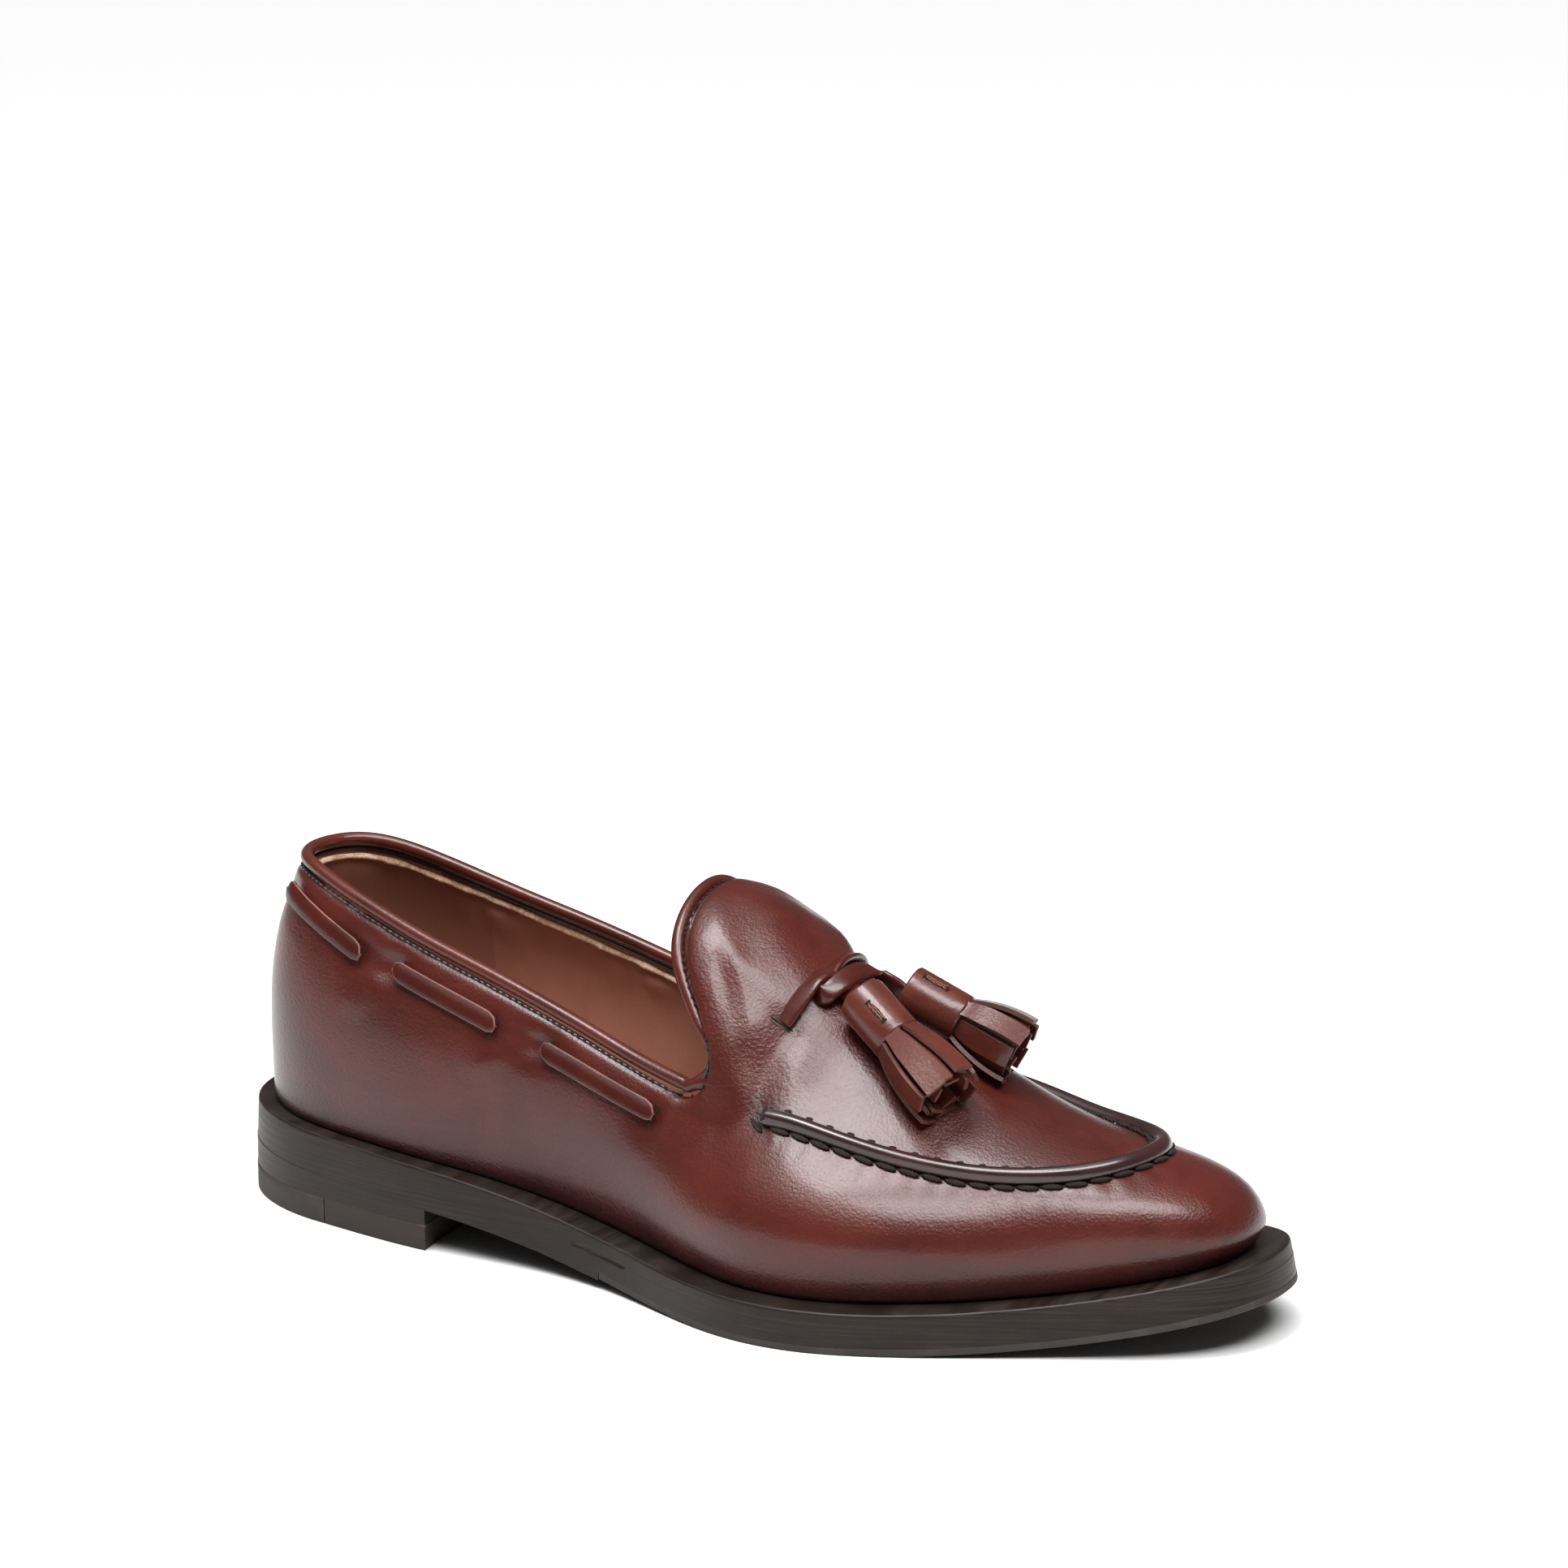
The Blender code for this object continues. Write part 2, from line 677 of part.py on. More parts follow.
def around_at(x, side):
    """Share of the half outline where the outline reaches x."""
    points, shares = OUTLINES[side]
    return float(np.interp(x, points[:, 0], shares))


def sole_stations(start=None, end=None):
    """Pairs of places round the outline, lateral and medial, between two cuts across."""
    first = [around_at(start, side) if start else 0.0 for side in (LATERAL, MEDIAL)]
    last = [around_at(end, side) if end else 1.0 for side in (LATERAL, MEDIAL)]
    steps = max(2, round(HALF_SOLE_STEPS * (last[0] - first[0])))
    return [tuple(first[k] + (last[k] - first[k]) * i / steps for k in (0, 1))
            for i in range(steps + 1)]


def sole_section(station, layers):
    """Corners of a slice of the sole, up one side and down the other.

    Layers gives the slice's corners on one side as pairs of inset and height.
    """
    corners = []
    for around, side in zip(station, (LATERAL, MEDIAL)):
        points = []
        for inset, height in layers(around, side):
            x, y = outline(around, side, inset)
            points.append(above_sole(x, y, height))
        corners.append(points)
    return corners[0] + corners[1][::-1]


# Pieces of the bottom

def add_outsole():
    """Leather outsole, recessed for the rubber and raised inside the welt."""
    def layers(under):
        def corners(around, side):
            inner = shown_welt(around, side) + WELT_INNER_MARGIN + CLEARANCE
            return ((0.0, under), (0.0, OUTSOLE_THICKNESS),
                    (inner, OUTSOLE_THICKNESS), (inner, WELT_TOP))
        return corners
    sections = [sole_section(station, layers(0.0)) for station in sole_stations(end=RUBBER_START)]
    recess = RUBBER_THICKNESS + CLEARANCE
    sections += [sole_section(station, layers(recess))
                 for station in sole_stations(start=RUBBER_START)]
    return lofted("outsole", sections, SOLE_EDGE)


def add_welt():
    """Welt, a flat strip round the whole sole."""
    low = OUTSOLE_THICKNESS + CLEARANCE
    ring = [(i / HALF_SOLE_STEPS, LATERAL) for i in range(HALF_SOLE_STEPS)]
    ring += [(i / HALF_SOLE_STEPS, MEDIAL) for i in range(HALF_SOLE_STEPS, 0, -1)]
    sections = []
    for around, side in ring:
        inner = shown_welt(around, side) + WELT_INNER_MARGIN
        section = []
        for inset, height in ((0.0, low), (0.0, WELT_TOP), (inner, WELT_TOP), (inner, low)):
            x, y = outline(around, side, inset)
            section.append(above_sole(x, y, height))
        sections.append(section)
    return lofted("welt", sections, SOLE_EDGE, closed=True)


def add_insole():
    """Insole inside the upper, on the welt and the outsole."""
    def layers(around, side):
        inset = shown_welt(around, side) + UPPER_WALL + INSOLE_PLAY
        return ((inset, SEAT), (inset, SEAT + INSOLE_THICKNESS))
    sections = [sole_section(station, layers) for station in sole_stations()]
    return lofted("insole", sections, LINING)


def add_forefoot_rubber():
    """Thin rubber half sole under the forefoot."""
    stations = sole_stations(start=RUBBER_START + CLEARANCE)
    sections = [sole_section(station, lambda around, side: ((0.0, 0.0), (0.0, RUBBER_THICKNESS)))
                for station in stations]
    return lofted("forefoot_rubber", sections, RUBBER)


def heel_loop(back, front, hollow):
    """Plan of a heel lift between two cuts across, the front one hollowed."""
    lateral = []
    medial = []
    first = [around_at(back, side) for side in (LATERAL, MEDIAL)]
    last = [around_at(front, side) for side in (LATERAL, MEDIAL)]
    for i in range(HEEL_STEPS + 1):
        share = i / HEEL_STEPS
        lateral.append(outline(first[0] + (last[0] - first[0]) * share, LATERAL))
        medial.append(outline(first[1] + (last[1] - first[1]) * share, MEDIAL))
    breast = []
    for i in range(1, BREAST_STEPS):
        share = i / BREAST_STEPS
        point = lateral[-1] + (medial[-1] - lateral[-1]) * share
        breast.append(point - np.array([hollow * 4.0 * share * (1.0 - share), 0.0]))
    if back == 0.0:
        medial = medial[1:]
    return lateral + breast + medial[::-1]


def add_heel_lift(name, material, back, front, hollow, low, high):
    """A block of the heel, from one height up to another given as functions of x."""
    loop = heel_loop(back, front, hollow)
    bm = bmesh.new()
    verts = [bm.verts.new((x, y, low)) for x, y in loop]
    base = bm.faces.new(verts)
    made = bmesh.ops.extrude_face_region(bm, geom=[base])
    for item in made["geom"]:
        if isinstance(item, bmesh.types.BMVert):
            item.co.z = high(item.co.x)
    bmesh.ops.triangulate(bm, faces=[face for face in bm.faces if len(face.verts) > 4])
    return add_object(name, bm, material)


def add_heel():
    """Heel stack with its top piece in two parts."""
    top = TOP_PIECE_THICKNESS
    half = CLEARANCE / 2.0
    add_heel_lift("heel_stack", HEEL_LEATHER, 0.0, HEEL_LENGTH, HEEL_BREAST_HOLLOW,
                  top + CLEARANCE, lambda x: underside(x) - CLEARANCE)
    add_heel_lift("heel_top_rubber", RUBBER, 0.0, TOP_PIECE_SEAM - half, 0.0,
                  0.0, lambda x: top)
    add_heel_lift("heel_top_leather", HEEL_LEATHER, TOP_PIECE_SEAM + half, HEEL_LENGTH,
                  HEEL_BREAST_HOLLOW, 0.0, lambda x: top)


# The upper and what follows its surface

def spread(first, last, steps):
    """Even places from first up to, but without, last."""
    return [first + (last - first) * i / steps for i in range(steps)]


def column_places():
    """Places around the half outline where the upper has columns: open edge, then vamp."""
    edge = spread(0.0, CORNER_START, QUARTER_STEPS)
    edge += spread(CORNER_START, CORNER_END, CORNER_STEPS)
    edge += spread(CORNER_END, TONGUE_TOP, TONGUE_STEPS)
    return edge, spread(TONGUE_TOP, 1.0, VAMP_STEPS) + [1.0]


def add_upper():
    """The upper as one shell, quarters to apron in a single wall.

    Returns search trees of its outer face and of the whole wall.
    """
    edge, vamp = column_places()
    half = edge + vamp
    ring = [(around, LATERAL) for around in half]
    ring += [(around, MEDIAL) for around in half[-2::-1]]

    def place(col, row):
        around, side = ring[col]
        return upper_point(around, row / RIB_STEPS, side)

    bm = mapped_grid(len(ring) - 1, RIB_STEPS, place)
    bmesh.ops.remove_doubles(bm, verts=bm.verts, dist=MERGE)
    bmesh.ops.recalc_face_normals(bm, faces=bm.faces)
    skin = BVHTree.FromBMesh(bm)
    item = add_object("upper", bm, CALF)
    wall = item.modifiers.new("wall", "SOLIDIFY")
    wall.thickness = UPPER_WALL
    wall.offset = -1.0
    wall.use_even_offset = True
    solid = bmesh.new()
    solid.from_object(item, bpy.context.evaluated_depsgraph_get())
    bmesh.ops.translate(solid, verts=solid.verts, vec=-Vector(PLACED_AT))
    whole = BVHTree.FromBMesh(solid)
    solid.free()
    return skin, whole


def edge_frame(around, side):
    """Point, direction, outward normal and open side of the upper's free edge."""
    point = upper_point(around, 1.0, side)
    low = max(around - AROUND_STEP, 0.0)
    high = min(around + AROUND_STEP, TONGUE_TOP)
    run = upper_point(high, 1.0, side) - upper_point(low, 1.0, side)
    if around <= 0.0:
        run = np.array([0.0, float(side), 0.0])
    if around >= TONGUE_TOP:
        run = np.array([0.0, -float(side), 0.0])
    run = unit(run)
    normal = upper_normal(around, 1.0, side)
    normal = unit(normal - run * normal.dot(run))
    away = np.cross(run, normal) * side
    return point, run, normal, away


def add_piping(wall):
    """Round piping along the topline and the tongue's edge, moved off the wall in corners."""
    edge, vamp = column_places()
    half = edge + vamp[:1]
    ring = [(around, LATERAL) for around in half]
    ring += [(around, MEDIAL) for around in half[-2:0:-1]]
    radius = PIPING_DIAMETER / 2.0
    sections = []
    for around, side in ring:
        point, _, normal, away = edge_frame(around, side)
        middle = point - normal * UPPER_WALL / 2.0 + away * (radius + CLEARANCE)
        for _ in range(PIPING_PUSHES):
            gap = wall.find_nearest(Vector(middle))[3] - radius
            middle = middle + away * max(CLEARANCE - gap, 0.0)
        section = []
        for i in range(PIPING_SIDES):
            turn = 2.0 * math.pi * i / PIPING_SIDES
            section.append(middle + (normal * math.cos(turn) + away * math.sin(turn)) * radius)
        sections.append(section)
    return lofted("collar_piping", sections, DARK_CALF, closed=True)


def surface_frame(around, climb, side):
    """Point of the upper, its outward normal and the direction up the rib."""
    point = upper_point(around, climb, side)
    normal = upper_normal(around, climb, side)
    over = upper_point(around, min(climb + CLIMB_STEP, 1.0), side)
    up = over - upper_point(around, climb - CLIMB_STEP, side)
    return point, normal, unit(up)


def climb_below_edge(around, side, drop):
    """Share of the climb at a distance below the upper's free edge."""
    marks = rib_at(around, side).marks
    return float(np.interp(marks[-1] - drop, marks, (0.0, SWELL_SHARE, SHOULDER_SHARE, 1.0)))


def add_apron_roll():
    """Raised roll along the apron seam, cut from the upper's shoulder line."""
    places = spread(ROLL_START, 1.0, ROLL_STEPS)
    ring = [(around, LATERAL) for around in places + [1.0]]
    ring += [(around, MEDIAL) for around in places[::-1]]
    profile = ((-0.5, 0.0), (0.0, 0.0), (0.5, 0.0), (0.5, 0.4), (0.25, 0.88),
               (0.0, 1.0), (-0.25, 0.88), (-0.5, 0.4))
    sections = []
    for around, side in ring:
        point, normal, up = surface_frame(around, SHOULDER_SHARE, side)
        base = point + normal * CLEARANCE
        sections.append([base + up * (across * ROLL_WIDTH) + normal * (height * ROLL_HEIGHT)
                         for across, height in profile])
    return lofted("apron_roll", sections, DARK_CALF)


def add_strap(name, side, first, last, first_drop, last_drop):
    """A flat bar of the lace on the quarter, with round ends."""
    stations = (0.0, 0.025, 0.08, 0.18, 0.39, 0.61, 0.82, 0.92, 0.975, 1.0)
    length = (last - first) * OUTLINE_HALF
    radius = STRAP_WIDTH / 2.0
    profile = ((-1.0, 0.0), (0.0, 0.0), (1.0, 0.0), (1.0, 0.7), (0.0, 1.0), (-1.0, 0.7))
    sections = []
    for share in stations:
        around = first + (last - first) * share
        climb = climb_below_edge(around, side, first_drop + (last_drop - first_drop) * share)
        point, normal, up = surface_frame(around, climb, side)
        inside = min(min(share, 1.0 - share) * length / radius, 1.0)
        half = radius * math.sqrt(1.0 - (1.0 - inside) ** 2)
        base = point + normal * CLEARANCE
        sections.append([base + up * (across * half) + normal * (height * STRAP_THICKNESS)
                         for across, height in profile])
    return lofted(name, sections, LACE_CALF)


def add_straps():
    """The lace's bars round the collar, three on each side."""
    for side, side_name in ((LATERAL, "lateral"), (MEDIAL, "medial")):
        for name, *place in STRAPS:
            add_strap("lace_" + side_name + "_" + name, side, *place)


# The lace's knot and the tassels, which rest on the upper's outer face

def over_upper(skin, x, y, height):
    """Point at a height off the upper's outer face, and the normal there."""
    above = Vector((x, y, 2.0 * INSTEP_HEIGHT))
    location, normal, _, _ = skin.ray_cast(above, Vector((0.0, 0.0, -1.0)))
    if normal.z < 0.0:
        normal = -normal
    return np.array(location + normal * height), np.array(normal)


def clear_of_upper(skin, point):
    """The point, moved out to the clearance where it would press into the upper."""
    location, normal, _, _ = skin.find_nearest(Vector(point))
    if normal.z < 0.0:
        normal = -normal
    height = (Vector(point) - location).dot(normal)
    if height >= CLEARANCE:
        return point
    return np.array(location + normal * CLEARANCE)


def band_section(skin, middle, run, normal, width, thickness):
    """Rounded section of the thong, its flat lying on the upper."""
    flat = unit(np.cross(run, normal))
    off = unit(np.cross(flat, run))
    section = []
    for i in range(KNOT_SIDES):
        turn = 2.0 * math.pi * i / KNOT_SIDES
        point = middle + flat * (math.cos(turn) * width / 2.0) + off * (math.sin(turn) * thickness / 2.0)
        section.append(clear_of_upper(skin, point))
    return section


def knot_rows(skin):
    """Middle points, normals and sizes along the lace from slit to slit."""
    rows = []
    for x, y, lift, width, thickness in KNOT_ROWS:
        middle, normal = over_upper(skin, x * OUTSOLE_LENGTH, y * BALL_WIDTH,
                                    lift * KNOT_THICKNESS + CLEARANCE)
        rows.append((middle, normal, width * THONG_WIDTH, thickness * KNOT_THICKNESS))
    return rows


def tassel_axis(skin, row):
    """Start, direction, length and normal of a tassel's axis."""
    _, start_x, start_y, start_lift, end_x, end_y, end_lift = row
    start, normal = over_upper(skin, start_x * OUTSOLE_LENGTH, start_y * BALL_WIDTH,
                               start_lift * TASSEL_DIAMETER)
    end, _ = over_upper(skin, end_x * OUTSOLE_LENGTH, end_y * BALL_WIDTH,
                        end_lift * TASSEL_DIAMETER)
    return start, unit(end - start), float(np.linalg.norm(end - start)), normal


def add_knot(skin):
    """Lace over the instep: from slit to slit, its knot and the necks to the tassels."""
    rows = knot_rows(skin)
    sections = []
    for i, (middle, normal, width, thickness) in enumerate(rows):
        run = rows[min(i + 1, len(rows) - 1)][0] - rows[max(i - 1, 0)][0]
        sections.append(band_section(skin, middle, run, normal, width, thickness))
    knot = lofted("lace_knot", sections, LACE_CALF)
    for row in TASSELS:
        start, run, _, normal = tassel_axis(skin, row)
        middle = rows[KNOT_ROW_OF_NECK[row[0]]][0]
        far = start + run * NECK_REACH
        neck_run = far - middle
        neck = lofted("neck_" + row[0], [
            band_section(skin, place, neck_run, normal, THONG_WIDTH, THONG_THICKNESS)
            for place in (middle, (middle + start) / 2.0, far)], LACE_CALF)
        neck.hide_render = True
        neck.display_type = "WIRE"
        joint = knot.modifiers.new("neck_" + row[0], "BOOLEAN")
        joint.operation = "UNION"
        joint.solver = "EXACT"
        joint.object = neck
    return knot


def add_sleeve(skin, row):
    """Leather sleeve of a tassel, open at both ends."""
    start, run, _, normal = tassel_axis(skin, row)
    across = unit(np.cross(run, normal))
    off = unit(np.cross(across, run))
    outer = TASSEL_DIAMETER / 2.0
    inner = outer - SLEEVE_WALL
    edge = SLEEVE_ROUNDING
    profile = ((inner, 0.0), (outer - edge, 0.0), (outer, edge), (outer, SLEEVE_LENGTH - edge),
               (outer - edge, SLEEVE_LENGTH), (inner, SLEEVE_LENGTH))
    sections = []
    for i in range(SLEEVE_SIDES):
        turn = 2.0 * math.pi * i / SLEEVE_SIDES
        away = across * math.cos(turn) + off * math.sin(turn)
        sections.append([start + run * along + away * radius for radius, along in profile])
    return lofted("tassel_sleeve_" + row[0], sections, CALF, closed=True)


def add_fringe(skin, row):
    """Fringe of a tassel: a rolled core in the sleeve, cut into strips beyond it."""
    start, run, length, normal = tassel_axis(skin, row)
    across = unit(np.cross(run, normal))
    off = unit(np.cross(across, run))
    core = TASSEL_DIAMETER / 2.0 - SLEEVE_WALL - CLEARANCE
    free = length - SLEEVE_LENGTH
    rows = [(FRINGE_ROOT, core, 0.0), (SLEEVE_LENGTH - CLEARANCE, core, 0.0)]
    rows += [(SLEEVE_LENGTH + along * free, radius * TASSEL_DIAMETER / 2.0, depth)
             for along, radius, depth in FRINGE_ROWS]
    end_radius = rows[-1][1] * (1.0 - rows[-1][2])
    rows.append((length - FRINGE_HOLLOW * free, end_radius * (1.0 - rows[-1][2]), 0.0))
    sections = []
    for place, (along, radius, depth) in enumerate(rows):
        section = []
        for strip in range(FRINGE_STRIPS):
            stagger = math.sin(2.4 * strip) * STRIP_STAGGER * free
            for phase, on_strip in STRIP_PHASES:
                turn = 2.0 * math.pi * (strip + phase) / FRINGE_STRIPS
                away = across * math.cos(turn) + off * math.sin(turn)
                out = radius if on_strip else radius * (1.0 - depth)
                shift = stagger if on_strip and place == len(rows) - 2 else 0.0
                point = start + run * (along + shift) + away * out
                section.append(clear_of_upper(skin, point) if along > SLEEVE_LENGTH else point)
        sections.append(section)
    return lofted("tassel_fringe_" + row[0], sections, LACE_CALF)


def main():
    """Build the loafer."""
    remove_scene_objects()
    add_outsole()
    add_welt()
    add_insole()
    add_forefoot_rubber()
    add_heel()
    skin, wall = add_upper()
    add_piping(wall)
    add_apron_roll()
    add_straps()
    add_knot(skin)
    for row in TASSELS:
        add_sleeve(skin, row)
        add_fringe(skin, row)


main()
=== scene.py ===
"""Looks of the right tassel loafer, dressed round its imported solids.

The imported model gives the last, the sole and the place of every piece.  Each class
here takes one sub-assembly of the shoe, refines its solids into the finished form
and gives it the leather, thread or rubber that the real one has.

Lengths are metres in the row's frame: +X to the toe, +Y to the medial side, +Z up.
"""

import json
import logging
import math
from collections.abc import Callable, Sequence
from dataclasses import dataclass, field, replace
from enum import Enum

import bmesh
import bpy
import numpy as np
from mathutils import Matrix, Vector
from mathutils.bvhtree import BVHTree
from mathutils.kdtree import KDTree

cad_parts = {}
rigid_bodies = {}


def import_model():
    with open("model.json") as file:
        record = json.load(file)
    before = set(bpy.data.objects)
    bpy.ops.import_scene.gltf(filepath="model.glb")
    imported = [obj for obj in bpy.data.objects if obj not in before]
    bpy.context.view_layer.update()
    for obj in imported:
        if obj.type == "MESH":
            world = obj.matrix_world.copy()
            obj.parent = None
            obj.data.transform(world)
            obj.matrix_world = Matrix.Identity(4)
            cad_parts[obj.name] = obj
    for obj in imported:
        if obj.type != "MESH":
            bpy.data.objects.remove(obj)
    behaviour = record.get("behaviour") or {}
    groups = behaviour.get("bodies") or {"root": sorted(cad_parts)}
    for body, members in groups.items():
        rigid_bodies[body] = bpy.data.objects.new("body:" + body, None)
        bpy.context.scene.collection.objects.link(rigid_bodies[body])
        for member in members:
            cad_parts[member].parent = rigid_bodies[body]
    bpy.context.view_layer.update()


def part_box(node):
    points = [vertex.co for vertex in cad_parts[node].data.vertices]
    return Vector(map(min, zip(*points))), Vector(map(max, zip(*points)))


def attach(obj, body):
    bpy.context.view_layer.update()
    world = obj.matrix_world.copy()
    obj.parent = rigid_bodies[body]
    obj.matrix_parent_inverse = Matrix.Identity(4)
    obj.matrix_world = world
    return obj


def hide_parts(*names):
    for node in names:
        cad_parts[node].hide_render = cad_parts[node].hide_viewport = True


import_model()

LOG = logging.getLogger("tassel_loafer")
BODY = "root"
MERGE = 0.00002
UP = np.array([0.0, 0.0, 1.0])
Triple = tuple[float, float, float]
Socket = bpy.types.NodeSocket


class Side(Enum):
    """Side of a right shoe, as the sign of Y."""

    LATERAL = -1
    MEDIAL = 1

    @property
    def word(self) -> str:
        """The side's name in lower case."""
        return self.name.lower()


class Attribute(Enum):
    """Measures that a leather piece carries for its material, in metres or as a share."""

    EDGE = "edge_gap"
    FOOT = "foot_gap"
    SEAM = "seam_gap"
    SEAM_ALONG = "seam_along"
    PUCKER = "pucker_share"
    SLIT = "slit_gap"
    FLEX = "flex_share"


# Mesh helpers

def corners_of(node: str) -> np.ndarray:
    """Places of a CAD node's corners."""
    return np.array([vert.co for vert in bpy.data.objects[node].data.vertices])


def merged(node: str, join: bool = True) -> bmesh.types.BMesh:
    """Copy a CAD node's mesh with its corners merged.

    Args:
        node: name of the CAD node.
        join: whether pairs of triangles become four-sided faces again.

    Returns:
        A new bmesh of the node's solid.
    """
    bm = bmesh.new()
    bm.from_mesh(bpy.data.objects[node].data)
    bmesh.ops.remove_doubles(bm, verts=bm.verts, dist=MERGE)
    if join:
        bmesh.ops.join_triangles(bm, faces=bm.faces, angle_face_threshold=math.radians(50.0),
                                 angle_shape_threshold=math.radians(60.0))
    return bm


def mesh_of(name: str, bm: bmesh.types.BMesh) -> bpy.types.Mesh:
    """Turn a bmesh into a mesh and use it up."""
    mesh = bpy.data.meshes.new(name)
    bm.to_mesh(mesh)
    bm.free()
    return mesh


def placed(name: str, data: bpy.types.ID) -> bpy.types.Object:
    """Put an object with its data into the scene."""
    item = bpy.data.objects.new(name, data)
    bpy.context.scene.collection.objects.link(item)
    return item


def finished(name: str, bm: bmesh.types.BMesh, *materials: bpy.types.Material,
             sharp: float = 180.0) -> bpy.types.Object:
    """Turn a bmesh into a piece that rides on the shoe.

    Args:
        name: name of the piece.
        bm: its shape, which is used up.
        materials: its finishes, in the order of its faces' material numbers.
        sharp: angle in degrees from which an edge is shaded sharp.

    Returns:
        The new object.
    """
    mesh = mesh_of(name, bm)
    mesh.shade_smooth()
    if sharp < 180.0:
        mesh.set_sharp_from_angle(angle=math.radians(sharp))
    for material in materials:
        mesh.materials.append(material)
    piece = placed(name, mesh)
    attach(piece, BODY)
    return piece


def subdivided(piece: bpy.types.Object, levels: int) -> None:
    """Add a Subdivision Surface modifier with equal viewport and render levels."""
    modifier = piece.modifiers.new("smooth", "SUBSURF")
    modifier.levels = levels
    modifier.render_levels = levels


def creased(bm: bmesh.types.BMesh, angle: float, weight: float) -> None:
    """Give the edges sharper than an angle in degrees a subdivision crease."""
    layer = bm.edges.layers.float.get("crease_edge") or bm.edges.layers.float.new("crease_edge")
    limit = math.radians(angle)
    for edge in bm.edges:
        if len(edge.link_faces) == 2 and edge.calc_face_angle() > limit:
            edge[layer] = weight


def rounded(bm: bmesh.types.BMesh, angle: float, width: float, material: int = -1) -> None:
    """Bevel the edges sharper than an angle in degrees, their faces in a material number."""
    limit = math.radians(angle)
    edges = [edge for edge in bm.edges
             if len(edge.link_faces) == 2 and edge.calc_face_angle() > limit]
    bmesh.ops.bevel(bm, geom=edges, offset=width, offset_type="OFFSET", segments=2,
                    profile=0.5, affect="EDGES", material=material)


def mapped_grid(columns: int, rows: int, place: Callable[[int, int], np.ndarray]) -> bmesh.types.BMesh:
    """Make a grid of faces whose corners go where place(column, row) says."""
    bm = bmesh.new()
    bmesh.ops.create_grid(bm, x_segments=columns, y_segments=rows, size=0.5)
    for vert in bm.verts:
        col = int(round((vert.co.x + 0.5) * columns))
        row = int(round((vert.co.y + 0.5) * rows))
        vert.co = Vector(place(col, row))
    return bm


def swept(sections: np.ndarray, closed: bool = False) -> bmesh.types.BMesh:
    """Skin a run of section loops of equal count, its open ends filled.

    Args:
        sections: array of loops of points.
        closed: whether the last loop joins the first.

    Returns:
        A closed bmesh.
    """
    loops = np.concatenate((sections, sections[:1])) if closed else sections
    count = loops.shape[1]
    bm = mapped_grid(len(loops) - 1, count, lambda col, row: loops[col, row % count])
    bmesh.ops.remove_doubles(bm, verts=bm.verts, dist=MERGE / 10.0)
    bmesh.ops.holes_fill(bm, edges=bm.edges, sides=0)
    bmesh.ops.recalc_face_normals(bm, faces=bm.faces)
    return bm


def unit(vectors: np.ndarray) -> np.ndarray:
    """Bring one vector, or each row of an array, to length one."""
    return vectors / np.maximum(np.linalg.norm(vectors, axis=-1, keepdims=True), 1e-12)


def fade(values: np.ndarray | float, start: float, width: float) -> np.ndarray | float:
    """Rise from 0 at a start to 1 over a width, which is negative for a fall."""
    return np.clip((values - start) / width, 0.0, 1.0)


def bell(values: np.ndarray, middle: float, width: float) -> np.ndarray:
    """Rise to 1 at a middle value and fall off again on both sides of it."""
    return np.exp(-((values - middle) / width) ** 2)


def lengths_along(line: np.ndarray) -> np.ndarray:
    """Length from a line's start to each of its points."""
    return np.concatenate(([0.0], np.cumsum(np.linalg.norm(np.diff(line, axis=0), axis=1))))


def even_steps(line: np.ndarray, count: int) -> np.ndarray:
    """Set a number of points at even steps along a line."""
    marks = lengths_along(line)
    wanted = np.linspace(0.0, marks[-1], count)
    return np.stack([np.interp(wanted, marks, line[:, i]) for i in range(3)], axis=1)


def point_tree(points: Sequence[Sequence[float]]) -> KDTree:
    """Build a tree that finds the nearest of some points."""
    tree = KDTree(len(points))
    for i, point in enumerate(points):
        tree.insert(point, i)
    tree.balance()
    return tree


def laid_on(skin: BVHTree, place: np.ndarray) -> tuple[np.ndarray, np.ndarray]:
    """Nearest point of a skin and its normal there."""
    location, normal, _, _ = skin.find_nearest(Vector(place))
    return np.array(location), np.array(normal)


def smoothed(points: Sequence[Sequence[float]], count: int) -> np.ndarray:
    """Run a smooth curve through a few points.

    Args:
        points: the points to pass through.
        count: number of points wanted.

    Returns:
        Points at even steps along the curve.
    """
    held = np.array(points, dtype=float)
    ends = np.vstack((2.0 * held[0] - held[1], held, 2.0 * held[-1] - held[-2]))
    fine = []
    for i in range(1, len(ends) - 2):
        a, b, c, d = ends[i - 1], ends[i], ends[i + 1], ends[i + 2]
        for t in np.linspace(0.0, 1.0, 16, endpoint=False):
            fine.append(0.5 * (2.0 * b + (c - a) * t + (2.0 * a - 5.0 * b + 4.0 * c - d) * t * t
                               + (3.0 * b - a - 3.0 * c + d) * t ** 3))
    fine.append(held[-1])
    return even_steps(np.array(fine), count)


